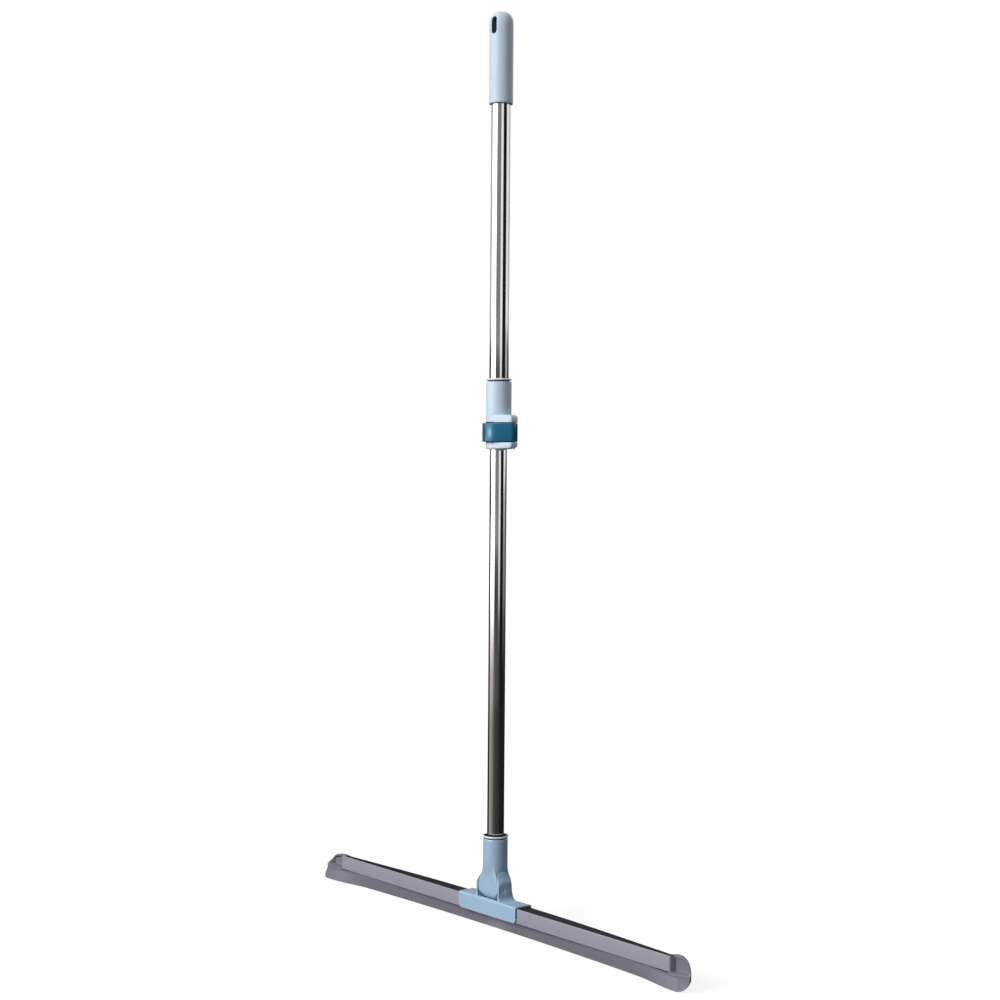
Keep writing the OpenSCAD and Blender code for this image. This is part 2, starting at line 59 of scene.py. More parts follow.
place.translation = (view["away"] * math.sin(turn), -view["away"] * math.cos(turn), view["height"])
camera.matrix_world = place
bpy.context.collection.objects.link(camera)
bpy.context.scene.camera = camera
bpy.context.scene.view_settings.view_transform = "Standard"
print("camera set")


# quads between the neighbours of a rows by cols grid of points, closed round either way if asked
def gridQuads(rows, cols, wrapRows=False, wrapCols=False):
    r, c = np.meshgrid(np.arange(rows - (not wrapRows)), np.arange(cols - (not wrapCols)), indexing="ij")
    nr, nc = (r + 1) % rows, (c + 1) % cols
    return np.stack([r * cols + c, r * cols + nc, nr * cols + nc, nr * cols + c], -1).reshape(-1, 4)


# a skin over a stack of closed rings, with a flat lid on its first and last ring, or closed on itself
def ringSkin(grid, loop=False):
    rows, cols = grid.shape[:2]
    lids = [] if loop else [np.arange(cols)[::-1], np.arange((rows - 1) * cols, rows * cols)]
    return grid.reshape(-1, 3), gridQuads(rows, cols, loop, True), lids


# each corner of closed outlines, one or many, is cut back along both edges and bridged by a parabola
def easeCorners(points, cuts, steps=5):
    p = np.asarray(points, float)
    before, after = np.roll(p, 1, -2) - p, np.roll(p, -1, -2) - p
    lenBefore = np.linalg.norm(before, axis=-1, keepdims=True)
    lenAfter = np.linalg.norm(after, axis=-1, keepdims=True)
    cut = np.broadcast_to(np.asarray(cuts, float), p.shape[:-1])[..., None]
    cut = np.minimum(cut, 0.48 * np.minimum(lenBefore, lenAfter))
    a, b = p + before / lenBefore * cut, p + after / lenAfter * cut
    s = np.linspace(0, 1, steps + 1)[:, None]
    arc = (1 - s) ** 2 * a[..., None, :] + 2 * s * (1 - s) * p[..., None, :] + s ** 2 * b[..., None, :]
    return arc.reshape(p.shape[:-2] + (-1, 2))


# unit normals of closed outlines that run counter-clockwise, from the chord between each point's neighbours
def outward(outline):
    chord = np.roll(outline, -1, -2) - np.roll(outline, 1, -2)
    normal = np.stack([chord[..., 1], -chord[..., 0]], -1)
    return normal / np.maximum(np.linalg.norm(normal, axis=-1, keepdims=True), 1e-9)


# points of a circle about the origin: x = r cos t, y = r sin t
def onCircle(t, r):
    return r * np.stack([np.cos(t), np.sin(t)], -1)


# plan points lifted to a height each
def atHeight(plan, z):
    return np.concatenate([plan, np.broadcast_to(z, plan.shape[:-1])[..., None]], -1)


# a profile of (radius, height) turned about z: x = r cos t, y = r sin t, z = height
def turnedGrid(profile, t):
    profile = np.asarray(profile, float)
    r, z = profile[:, :1], profile[:, 1:]
    return np.stack([r * np.cos(t), r * np.sin(t), z + 0 * t], -1)


# the same as a ring about the pole, closed on itself
def turned(profile, steps=128):
    return ringSkin(turnedGrid(profile, np.linspace(0, 2 * np.pi, steps, endpoint=False)), True)


# shares of the way from a plan's middle to its edge
fanShares = np.array([0.03, 0.2, 0.4, 0.6, 0.74, 0.83, 0.9, 0.96])


# a plan carried from low to high and drawn in by a quarter round at both ends; low and high may be surfaces
# over the plan; with fan on, rings that shrink to the plan's middle close each end, otherwise a flat lid does
def block(plan, low, high, edge, fan=False, steps=4):
    a = np.linspace(0, np.pi / 2, steps + 1)
    inset, rise = edge * (1 - np.sin(a)), edge * (1 - np.cos(a))
    drawn = plan - outward(plan) * inset[:, None, None]
    if fan:
        middle = plan.mean(0)
        drawn = np.concatenate([middle + (drawn[0] - middle) * fanShares[:, None, None], drawn])
        rise = np.concatenate([0 * fanShares, rise])
    lowAt, highAt = (end(drawn[..., 0], drawn[..., 1]) if callable(end) else end for end in (low, high))
    lower, upper = atHeight(drawn, lowAt + rise[:, None]), atHeight(drawn, highAt - rise[:, None])
    return np.concatenate([lower, upper[::-1]])


# stations along x from end to end, close together near the ends, and how far the section is drawn in at each
def endStations(half, edge, count, steps=4):
    a = np.linspace(0, np.pi / 2, steps + 1)
    tail = half - edge * (1 - np.cos(a))
    x = np.concatenate([-tail, np.linspace(-tail[-1], tail[-1], count)[1:-1], tail[::-1]])
    drawn = edge * (1 - np.sin(a))
    return x, np.concatenate([drawn, np.zeros(count - 2), drawn[::-1]])


# sections (y, z) set at stations along x
def alongX(x, sections):
    return np.concatenate([np.broadcast_to(x[:, None, None], sections.shape[:2] + (1,)), sections], -1)


# points turned about the pole's axis by an angle in degrees
def swing(points, degrees):
    c, s = math.cos(math.radians(degrees)), math.sin(math.radians(degrees))
    return points @ np.array([[c, s, 0], [-s, c, 0], [0, 0, 1]])


# a smooth step from 0 to 1 between two values
def ease(value, start, end):
    t = np.clip((value - start) / (end - start), 0, 1)
    return t * t * (3 - 2 * t)


bowRadius = 5616.25  # of the blade's arc in plan


# the blade's line in plan: an arc of one large radius through the middle, offset by y
def bowLine(x, y):
    return np.sqrt((bowRadius + y) ** 2 - x * x) - bowRadius


# joins skins given in millimetres into one piece that rides on a body and stands for CAD nodes
# dark marks, skin by skin, the quads that take the second finish, a painted shade
def addPiece(name, skins, finish, body, nodes, sharp=38, second=None, dark=None):
    points, faces, marks, base = [], [], [], 0
    for i, (p, quads, lids) in enumerate(skins):
        points.append(p * 0.001)
        faces += (quads + base).tolist() + [(lid + base).tolist() for lid in lids]
        marked = np.zeros(len(quads), int) if dark is None or dark[i] is None else dark[i].astype(int)
        marks += [marked, np.zeros(len(lids), int)]
        base += len(p)
    mesh = bpy.data.meshes.new(name)
    mesh.from_pydata(np.vstack(points).tolist(), [], faces)
    mesh.polygons.foreach_set("material_index", np.concatenate(marks))
    work = bmesh.new()
    work.from_mesh(mesh)
    bmesh.ops.remove_doubles(work, verts=work.verts, dist=1e-6)
    bmesh.ops.recalc_face_normals(work, faces=work.faces)
    work.to_mesh(mesh)
    work.free()
    mesh.shade_smooth()
    mesh.set_sharp_from_angle(angle=math.radians(sharp))
    mesh.materials.append(finish)
    if second:
        mesh.materials.append(second)
    piece = bpy.data.objects.new(name, mesh)
    bpy.context.collection.objects.link(piece)
    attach(piece, body)
    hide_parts(*nodes)
    return piece


# an effect that finishes share, as a node group: its numbers come in, its masks and heights go out
def newGroup(name, inputs, outputs):
    group = bpy.data.node_groups.new(name, "ShaderNodeTree")
    for label, value in inputs.items():
        group.interface.new_socket(label, in_out="INPUT", socket_type="NodeSocketFloat").default_value = value
    for label in outputs:
        group.interface.new_socket(label, in_out="OUTPUT", socket_type="NodeSocketFloat")
    spot = group.nodes.new("ShaderNodeTexCoord").outputs["Object"]
    return group, group.nodes.new("NodeGroupInput").outputs, group.nodes.new("NodeGroupOutput").inputs, spot


# sockets fed by name or number: a plain number, a colour, or another node's output
def feed(tree, node, values):
    for label, value in values.items():
        if isinstance(value, tuple):
            node.inputs[label].default_value = value + (1,)
        elif isinstance(value, (int, float)):
            node.inputs[label].default_value = value
        else:
            tree.links.new(value, node.inputs[label])


# noise of a given fineness at a place
def noiseNode(tree, vector, scale, detail=2.0, rough=0.5):
    node = tree.nodes.new("ShaderNodeTexNoise")
    feed(tree, node, {"Vector": vector, "Scale": scale, "Detail": detail, "Roughness": rough})
    return node.outputs["Fac"]


# a value carried from one range to another
def rangeNode(tree, value, low, high, toLow=0.0, toHigh=1.0):
    node = tree.nodes.new("ShaderNodeMapRange")
    feed(tree, node, {"Value": value, "From Min": low, "From Max": high, "To Min": toLow, "To Max": toHigh})
    return node.outputs["Result"]


# two values joined by one operation
def mathNode(tree, operation, a, b=0.0):
    node = tree.nodes.new("ShaderNodeMath")
    node.operation = operation
    feed(tree, node, {0: a, 1: b})
    return node.outputs[0]


# a place pulled out along the axes
def stretched(tree, vector, scale):
    node = tree.nodes.new("ShaderNodeMapping")
    node.inputs["Scale"].default_value = scale
    tree.links.new(vector, node.inputs["Vector"])
    return node.outputs["Vector"]


# grain of a mould: a fine even pebble as height, and a slow cloud that shifts tone and gloss
mouldGrain, into, out, spot = newGroup("mouldGrain", {"Pebble": 1600.0, "Cloud": 22.0}, ["Height", "Tone"])
mouldGrain.links.new(noiseNode(mouldGrain, spot, into["Pebble"], 2.0, 0.6), out["Height"])
cloud = noiseNode(mouldGrain, spot, into["Cloud"], 4.0, 0.55)
mouldGrain.links.new(rangeNode(mouldGrain, cloud, 0.3, 0.7), out["Tone"])

# lines of a drawn tube: noise pulled out along the pole, as height and as a slow change of polish
drawnLines, into, out, spot = newGroup("drawnLines", {"Fine": 1.0}, ["Height", "Polish"])
fineSpot, wideSpot = stretched(drawnLines, spot, (2600, 2600, 9)), stretched(drawnLines, spot, (240, 240, 6))
drawnLines.links.new(noiseNode(drawnLines, fineSpot, into["Fine"], 3.0, 0.6), out["Height"])
drawnLines.links.new(noiseNode(drawnLines, wideSpot, 1.0, 4.0, 0.6), out["Polish"])

# dust of the floor: patches that thin out upwards from the wiping edge, Reach in metres
floorDust, into, out, spot = newGroup("floorDust", {"Reach": 0.04, "Patch": 160.0}, ["Mask"])
split = floorDust.nodes.new("ShaderNodeSeparateXYZ")
floorDust.links.new(spot, split.inputs[0])
low = rangeNode(floorDust, split.outputs["Z"], 0.0, into["Reach"], 1.0, 0.0)
patch = rangeNode(floorDust, noiseNode(floorDust, spot, into["Patch"], 6.0, 0.65), 0.42, 0.72)
floorDust.links.new(mathNode(floorDust, "MULTIPLY", low, patch), out["Mask"])

# fine scuffs: thin bent lines where a stretched noise crosses its middle
scuffs, into, out, spot = newGroup("scuffs", {"Scale": 60.0, "Width": 0.012}, ["Mask"])
offMiddle = mathNode(scuffs, "SUBTRACT", noiseNode(scuffs, spot, into["Scale"], 1.0), 0.5)
thin = rangeNode(scuffs, mathNode(scuffs, "ABSOLUTE", offMiddle), 0.0, into["Width"], 1.0, 0.0)
rare = rangeNode(scuffs, noiseNode(scuffs, spot, 140.0, 2.0), 0.58, 0.68)
scuffs.links.new(mathNode(scuffs, "MULTIPLY", thin, rare), out["Mask"])


# a new finish, its node tree and its main shader
def startFinish(name):
    finish = bpy.data.materials.new(name)
    finish.use_nodes = True
    return finish, finish.node_tree, finish.node_tree.nodes["Principled BSDF"]


# a shared effect put into a finish with its own numbers
def useGroup(tree, group, **values):
    node = tree.nodes.new("ShaderNodeGroup")
    node.node_tree = group
    for label, value in values.items():
        node.inputs[label].default_value = value
    return node.outputs


# a share of the way from one colour to another
def mixColour(tree, factor, a, b):
    node = tree.nodes.new("ShaderNodeMix")
    node.data_type = "RGBA"
    feed(tree, node, {0: factor, 6: a, 7: b})  # the sockets of a colour mix
    return node.outputs[2]


# fine relief from a height; the distance is in metres
def setBump(tree, shader, height, strength, distance):
    bump = tree.nodes.new("ShaderNodeBump")
    feed(tree, bump, {"Height": height, "Strength": strength, "Distance": distance})
    tree.links.new(bump.outputs["Normal"], shader.inputs["Normal"])


# wear and relief that the finishes share
wear = dict(paleGain=1.18, paleLift=0.015, dustTone=(0.42, 0.40, 0.37), dustRough=0.3, dull=0.86,
            scratchRough=0.12, pebbleDeep=0.0002, lineDeep=0.00005)


# moulded plastic or rubber: two close tones, a gloss that drifts with them, pebble, scuffs and floor dust
def moulded(name, colour, shade, gloss=(0.36, 0.46), pebble=1600.0, bump=0.12, scuff=0.15, dust=0.0,
            reach=0.04, specular=0.5, tint=(1.0, 1.0, 1.0)):
    finish, tree, shader = startFinish(name)
    grain = useGroup(tree, mouldGrain, Pebble=pebble)
    scratch = useGroup(tree, scuffs)["Mask"]
    tone = mixColour(tree, grain["Tone"], colour, shade)
    pale = tuple(min(1.0, c * wear["paleGain"] + wear["paleLift"]) for c in colour)
    tone = mixColour(tree, mathNode(tree, "MULTIPLY", scratch, scuff), tone, pale)
    rough = rangeNode(tree, grain["Tone"], 0.0, 1.0, gloss[0], gloss[1])
    if dust:
        film = mathNode(tree, "MULTIPLY", useGroup(tree, floorDust, Reach=reach)["Mask"], dust)
        tone = mixColour(tree, film, tone, wear["dustTone"])
        rough = mathNode(tree, "ADD", rough, mathNode(tree, "MULTIPLY", film, wear["dustRough"]))
    setBump(tree, shader, grain["Height"], bump, wear["pebbleDeep"])
    feed(tree, shader, {"Base Color": tone, "Roughness": rough, "Specular IOR Level": specular,
                        "Specular Tint": tint})
    return finish


# a bright metal: drawn lines in the gloss and the surface, faint scuffs
def brightMetal(name, colour, gloss=(0.07, 0.14), bump=0.04, fine=1.0):
    finish, tree, shader = startFinish(name)
    lines = useGroup(tree, drawnLines, Fine=fine)
    scratch = useGroup(tree, scuffs, Scale=90.0, Width=0.008)["Mask"]
    dull = tuple(c * wear["dull"] for c in colour)
    tone = mixColour(tree, rangeNode(tree, lines["Polish"], 0.35, 0.75), colour, dull)
    rough = rangeNode(tree, lines["Polish"], 0.3, 0.7, gloss[0], gloss[1])
    rough = mathNode(tree, "ADD", rough, mathNode(tree, "MULTIPLY", scratch, wear["scratchRough"]))
    setBump(tree, shader, lines["Height"], bump, wear["lineDeep"])
    feed(tree, shader, {"Base Color": tone, "Roughness": rough, "Metallic": 1.0})
    return finish


palePlastic = moulded("pale_plastic", (0.68, 0.81, 0.95), (0.64, 0.78, 0.92), gloss=(0.36, 0.44),
                      specular=0.28)
ringPlastic = moulded("ring_plastic", (0.84, 0.88, 0.92), (0.80, 0.85, 0.90), gloss=(0.24, 0.32), bump=0.05)
innerPlastic = moulded("inner_plastic", (0.75, 0.75, 0.72), (0.70, 0.70, 0.67), gloss=(0.4, 0.5))
leverPlastic = moulded("lever_plastic", (0.016, 0.145, 0.27), (0.013, 0.125, 0.24), gloss=(0.13, 0.16),
                       bump=0.02, specular=0.5, tint=(0.6, 0.9, 1.0))
# near-black finish for painted shade in gaps, grooves and recesses, and at the ends of the bracket's front
# plate
paintedGapShade = moulded("painted_gap_shade", (0.006, 0.011, 0.018), (0.009, 0.015, 0.022), gloss=(0.5, 0.6), specular=0.2)
# dark blue-grey finish for painted shade inside the grip's slot and on its underside round the tube
paintedSlotShade = moulded("painted_slot_shade", (0.13, 0.19, 0.25), (0.11, 0.16, 0.22), gloss=(0.5, 0.6), specular=0.2)
shoeRubber = moulded("shoe_rubber", (0.02, 0.02, 0.022), (0.03, 0.03, 0.032), gloss=(0.6, 0.75))
bluePlastic = moulded("blue_plastic", (0.385, 0.56, 0.73), (0.37, 0.54, 0.71), gloss=(0.36, 0.44), dust=0.06,
                      reach=0.09)
railPlastic = moulded("rail_plastic", (0.36, 0.35, 0.425), (0.345, 0.335, 0.41), gloss=(0.38, 0.48),
                      dust=0.08)
stiffPlastic = moulded("stiffener_plastic", (0.007, 0.006, 0.008), (0.010, 0.009, 0.011), gloss=(0.42, 0.55),
                       dust=0.02, reach=0.06, specular=0.15)
bladeRubber = moulded("blade_rubber", (0.205, 0.197, 0.245), (0.195, 0.187, 0.235), gloss=(0.45, 0.55),
                      bump=0.2, pebble=1100.0, dust=0.1)
poleSteel = brightMetal("pole_steel", (0.80, 0.81, 0.83))
fastenerSteel = brightMetal("fastener_steel", (0.60, 0.61, 0.63), gloss=(0.24, 0.34), bump=0.1, fine=0.5)
print("finishes made")

# grip: a turned handle with a dome, and a hang slot that goes right through
gripSize = dict(radius=15.5, low=1066.5, top=1184.5, dome=17.0, domePower=2.5, bore=12.55, boreTop=1149.5,
                boreRound=0.4, lipRound=0.5, slotLow=1154.5, slotTop=1176.5, slotWide=8.2, slotRim=0.55,
                slotTurn=10.0, patchHalf=7.6, patchLow=1150.5, patchTop=1179.6)


# radius of the grip at a height: plain, then a squarish ellipse to the top
def gripRadius(z):
    g = gripSize
    up = np.maximum(z - g["top"] + g["dome"], 0) / g["dome"]
    return g["radius"] * np.clip(1 - up ** g["domePower"], 0, 1) ** (1 / g["domePower"])


# where a ray from the slot's middle leaves a capsule of the slot's shape with a given half width
def slotRim(direction, half):
    g = gripSize
    straight = (g["slotTop"] - g["slotLow"] - g["slotWide"]) / 2
    flank = half / np.maximum(np.abs(direction[:, 0]), 1e-9)
    dot = np.abs(direction[:, 1]) * straight
    cap = dot + np.sqrt(np.maximum(dot ** 2 - straight ** 2 + half ** 2, 0))
    return direction * np.where(np.abs(direction[:, 1]) * flank <= straight, flank, cap)[:, None]


# rings of the grip's radius at each height, left open round the slot; there a skin runs from a rectangle on
# the surface to the slot's rim, and straight through
def makeGrip():
    g = gripSize
    half, nq, nz = g["patchHalf"], 15, 25  # columns and rows of the patch round the slot
    q = np.linspace(-half, half, nq)
    rowsLow = np.array([g["low"] + g["lipRound"], g["low"] + 3 * g["lipRound"], g["patchLow"] - 1])
    rowsPatch = np.linspace(g["patchLow"], g["patchTop"], nz)
    s = np.linspace(0, 1, 11)[1:-1]
    rowsTop = g["top"] - (g["top"] - g["patchTop"]) * (1 - s) ** 2
    z = np.concatenate([rowsLow, rowsPatch, rowsTop])
    radius = gripRadius(z)
    edge = np.arcsin(np.clip(half / np.maximum(radius, gripRadius(g["patchTop"])), -1, 1))[:, None]
    edge = np.where((z > g["patchTop"])[:, None], edge[len(rowsLow) + nz - 1], edge)
    front = np.arcsin(np.sin(edge) * (q / half))
    flankSteps = np.linspace(0, 1, 26)[1:-1]
    flank = edge + (np.pi - 2 * edge) * flankSteps
    # the turn 0 looks out of the slot's front
    ringTurn = np.concatenate([front, flank, np.pi + front, np.pi + flank], 1)
    wall = np.array([[g["bore"], g["boreTop"]], [g["bore"], g["low"] + g["boreRound"]],
                     [g["bore"] + g["boreRound"], g["low"]], [g["radius"] - g["lipRound"], g["low"]]])
    ringTurn = np.concatenate([np.repeat(ringTurn[:1], len(wall), 0), ringTurn])
    radius = np.concatenate([wall[:, 0], radius])
    z = np.concatenate([wall[:, 1], z])
    across, out = radius[:, None] * np.sin(ringTurn), -radius[:, None] * np.cos(ringTurn)
    grid = np.stack([across, out, np.broadcast_to(z[:, None], across.shape)], -1)
    rows, cols = across.shape
    quads = gridQuads(rows, cols, False, True).reshape(rows - 1, cols, 4)
    first = len(wall) + len(rowsLow)
    keep = np.ones((rows - 1, cols), bool)
    keep[first:first + nz - 1, :nq - 1] = False
    backCol = nq + len(flankSteps)
    keep[first:first + nz - 1, backCol:backCol + nq - 1] = False
    lids = [np.arange(cols)[::-1], np.arange((rows - 1) * cols, rows * cols)]
    body = (grid.reshape(-1, 3), quads[keep], lids)
    # the patch between a rectangle on the surface and the slot's rim, then a rounded rim, then the tunnel
    midZ = (g["slotTop"] + g["slotLow"]) / 2
    rect = np.concatenate([np.stack([q[:-1], np.full(nq - 1, rowsPatch[0])], -1),
                           np.stack([np.full(nz - 1, half), rowsPatch[:-1]], -1),
                           np.stack([q[:0:-1], np.full(nq - 1, rowsPatch[-1])], -1),
                           np.stack([np.full(nz - 1, -half), rowsPatch[:0:-1]], -1)]) - [0, midZ]
    heading = rect / np.linalg.norm(rect, axis=1, keepdims=True)
    outer = slotRim(heading, g["slotWide"] / 2 + g["slotRim"])
    share = np.linspace(0, 1, 9)[:, None, None]
    flat = rect * (1 - share) + outer * share + [0, midZ]
    depth = np.sqrt(gripRadius(flat[..., 1]) ** 2 - flat[..., 0] ** 2)
    a = np.linspace(0, np.pi / 2, 7)[1:]
    rimHalf = g["slotWide"] / 2 + g["slotRim"] * (1 - np.sin(a))
    rim = np.stack([slotRim(heading, width) for width in rimHalf]) + [0, midZ]
    rimDepth = depth[-1] - g["slotRim"] * (1 - np.cos(a))[:, None]
    half1 = np.concatenate([np.concatenate([flat, rim]), np.concatenate([depth, rimDepth])[..., None]], -1)
    through = np.concatenate([half1 * [1, 1, -1], half1[::-1]])
    tunnel = np.stack([through[..., 0], through[..., 2] * -1, through[..., 1]], -1)
    quads = gridQuads(tunnel.shape[0], tunnel.shape[1], False, True)
    skins = [(swing(body[0], g["slotTurn"]), body[1], body[2]),
             (swing(tunnel.reshape(-1, 3), g["slotTurn"]), quads, [])]
    ringAt = np.arange(len(tunnel) - 1)
    deep = len(flat) + len(rim) - 2  # the first band inside the rim
    # the inside of the tunnel takes a painted shade
    tunnelShade = np.repeat((ringAt >= deep) & (ringAt <= len(tunnel) - 2 - deep), tunnel.shape[1])
    rowOf = np.repeat(np.arange(rows - 1), cols).reshape(rows - 1, cols)[keep]
    mouth = (rowOf >= 1) & (rowOf <= 2)  # the underside round the tube, painted in shade
    return addPiece("grip_shell", skins, palePlastic, "upper_pole", ["grip"], sharp=50,
                    second=paintedSlotShade, dark=[mouth, tunnelShade])


makeGrip()
print("grip made")

# tubes: fine turned walls, edges broken
tubes = dict(upper=dict(r=12.5, inner=11.8, low=666.5, top=1149.5),
             lower=dict(r=11.0, inner=10.3, low=86.5, top=697.8))


# a tube's wall in section: four corners, each broken
def tubeLoop(t, broken=0.25):
    corners = [(t["inner"], t["low"]), (t["r"], t["low"]), (t["r"], t["top"]), (t["inner"], t["top"])]
    return easeCorners(corners, broken, 2)


addPiece("pole_upper", [turned(tubeLoop(tubes["upper"]), 192)], poleSteel, "upper_pole", ["upper_tube"])
addPiece("pole_lower", [turned(tubeLoop(tubes["lower"]), 192)], poleSteel, "lower_pole", ["lower_tube"])

# rings and the lock's sleeve, as turned outlines
collarSize = dict(r=16.5, low=622.5, top=709.6, groove=14.0, ringLow=711.3, ringTop=713.4, ringGap=0.05,
                  bore=12.55, lowBore=11.4, step=666.5, clampTurn=29.0, lines=(631.3, 656.8), lineHalf=0.8)
c = collarSize
grooveTop = c["ringLow"] - c["ringGap"]
sleeve = easeCorners([(c["lowBore"], c["low"]), (c["r"], c["low"]), (c["r"], c["top"]),
                      (c["groove"], c["top"]), (c["groove"], grooveTop), (c["bore"], grooveTop),
                      (c["bore"], c["step"]), (c["lowBore"], c["step"])],
                     [0.3, 1.3, 0.5, 0.1, 0.1, 0.1, 0.1, 0.1])
wallAt = np.argmax(sleeve[:, 1] > c["step"])  # first point above the plain outer wall
# painted shade: two thin bands on the sleeve at the lever's top and bottom, and the groove under the cap ring
lineZ = np.array([z + d for z in c["lines"] for d in (-c["lineHalf"], c["lineHalf"])])
sleeve = np.insert(sleeve, wallAt, np.stack([np.full(4, c["r"]), lineZ], -1), 0)
middle = (sleeve + np.roll(sleeve, -1, 0)) / 2
inGroove = (middle[:, 1] > c["top"] - 0.2) & (middle[:, 0] < c["r"] - 0.3) & (middle[:, 0] > c["bore"] + 0.15)
onShadeLine = (middle[:, 0] > c["r"] - 0.05) & (np.abs(middle[:, 1:] - np.array(c["lines"])).min(1) < 0.1)
sleeveGapShade = np.repeat(inGroove | onShadeLine, 128)
collarRing = easeCorners([(c["bore"], c["ringLow"]), (c["r"], c["ringLow"]), (c["r"], c["ringTop"]),
                          (c["bore"], c["ringTop"])], [0.1, 0.3, 0.8, 0.4])
addPiece("collar_cap_ring", [turned(collarRing)], ringPlastic, "upper_pole", ["collar_ring"])

# lugs of the lock in the clamp's own plan: a slanted front, round corners, one end rounded down
lugSize = dict(reach=27.57, front=-21.55, corner=4.2, start=(-2.9, -16.1), end=(13.9, 0.0), hideR=13.6,
               hideTurn=-88, upLow=656.5, upTop=666.5, lowLow=622.75, lowTop=631.5, topRound=5.0,
               lowRound=9.5, lowShare=0.7, edge=0.8)
g = lugSize
lugPlan = np.concatenate([easeCorners([g["start"], (g["reach"], g["front"]), (g["reach"], 0.0), g["end"]],
                                      [0.05, g["corner"], g["corner"], 0.05], 6),
                          onCircle(np.radians(np.linspace(0, g["hideTurn"], 14)), g["hideR"])])


# height of a round end: a quarter circle over the last stretch of x
def roundEnd(x, radius):
    over = np.clip(x - lugSize["reach"] + radius, 0, radius)
    return radius - np.sqrt(radius ** 2 - over ** 2)


upperLug = block(lugPlan, g["upLow"], lambda x, y: g["upTop"] - roundEnd(x, g["topRound"]), g["edge"], True)
lowerLug = block(lugPlan, lambda x, y: g["lowLow"] + g["lowShare"] * roundEnd(x, g["lowRound"]), g["lowTop"],
                 g["edge"], True)
lugs = [ringSkin(swing(lug, c["clampTurn"])) for lug in (upperLug, lowerLug)]
bands = np.arange(len(upperLug) - 1)  # those beside the lever are painted in shade
lugGapShade = [np.repeat((band >= 4) & (band <= 10), len(lugPlan)) for band in (bands, bands[::-1])]
addPiece("collar_sleeve", [turned(sleeve)] + lugs, palePlastic, "upper_pole", ["collar_body"],
         second=paintedGapShade, dark=[sleeveGapShade] + lugGapShade)

# flip lever: a band nearly half round the collar that thickens into a block with the cam
leverSize = dict(low=631.8, top=656.2, outer=21.0, inner=17.0, end=-173, bandTo=-92, innerFrom=-18.5,
                 reach=27.57, corner=4.2, face=(4, -20.95), faceEnd=-19.9, backR=3.4, backTurn=74,
                 cam=(21.98, -4.87), camR=5.7, camFrom=58.5, camTo=178, edge=1.3)
g = leverSize
bandOut, bandIn, camTurn, backTurn = (np.radians(np.linspace(*span)) for span in (
    (g["end"], g["bandTo"], 60), (g["innerFrom"], g["end"], 90), (g["camFrom"], g["camTo"], 24),
    (0, g["backTurn"], 9)))
nose = np.radians(np.linspace(180, 360, 9)[1:-1] + g["end"])
faceLine = [g["face"], (g["reach"], g["faceEnd"]), (g["reach"], 0.0)]
frontCorner = easeCorners(faceLine, [0.05, g["corner"], 0.05], 7)[7:16]  # its start and the round corner
backCorner = onCircle(backTurn, g["backR"]) + [g["reach"] - g["backR"], -g["backR"]]
noseTip = onCircle(bandOut[0], (g["outer"] + g["inner"]) / 2) + onCircle(nose, (g["outer"] - g["inner"]) / 2)
leverPlan = np.concatenate([onCircle(bandOut, g["outer"]), frontCorner, backCorner,
                            onCircle(camTurn, g["camR"]) + g["cam"], onCircle(bandIn, g["inner"]), noseTip])
lever = block(leverPlan, g["low"], g["top"], g["edge"])
addPiece("lock_lever", [ringSkin(swing(lever, c["clampTurn"]))], leverPlastic, "lever", ["flip_lever"])
print("lock made")

# neck: a round sleeve that blends into a tongue with a flat paddle on front and back
neckSize = dict(sleeveR=16.0, top=117.0, topRound=0.8, blendTop=88.0, blendLow=64.0, fineTo=58, deep=12.3,
                pivot=49.5, footR=12.6, footFrom=4.6, corner=0.9, bore=11.1, boreLow=86.5, hub=119.5,
                ringR=16.75, ringTop=120.7, ringLow=118.5, ringBore=15.0, ringGap=0.02, grooveR=15.1,
                taper=(13.5, 25.5), taperHalf=(20.2, 14.8),
                paddleZ=(37, 39, 46.5, 50, 56, 60, 64, 68, 72, 76, 80, 88),
                paddleHalf=(5.0, 8.0, 17.2, 19.9, 19.7, 18.8, 17.4, 16.0, 14.6, 13.4, 12.6, 12.0))
g = neckSize


# half width of the tongue at a distance from the pivot: full, then a straight taper
def tongueHalf(distance):
    return np.interp(distance, neckSize["taper"], neckSize["taperHalf"])


# half width of the paddle at a height: pointed foot, widest over the pivot, drawn in above; eased over 3 mm
def paddleHalf(z):
    fine = np.arange(30, 125, 0.1)
    drawn = np.interp(fine, g["paddleZ"], g["paddleHalf"])
    drawn = np.convolve(np.pad(drawn, 15, mode="edge"), np.ones(31) / 31, "valid")
    return np.interp(z, fine, drawn)


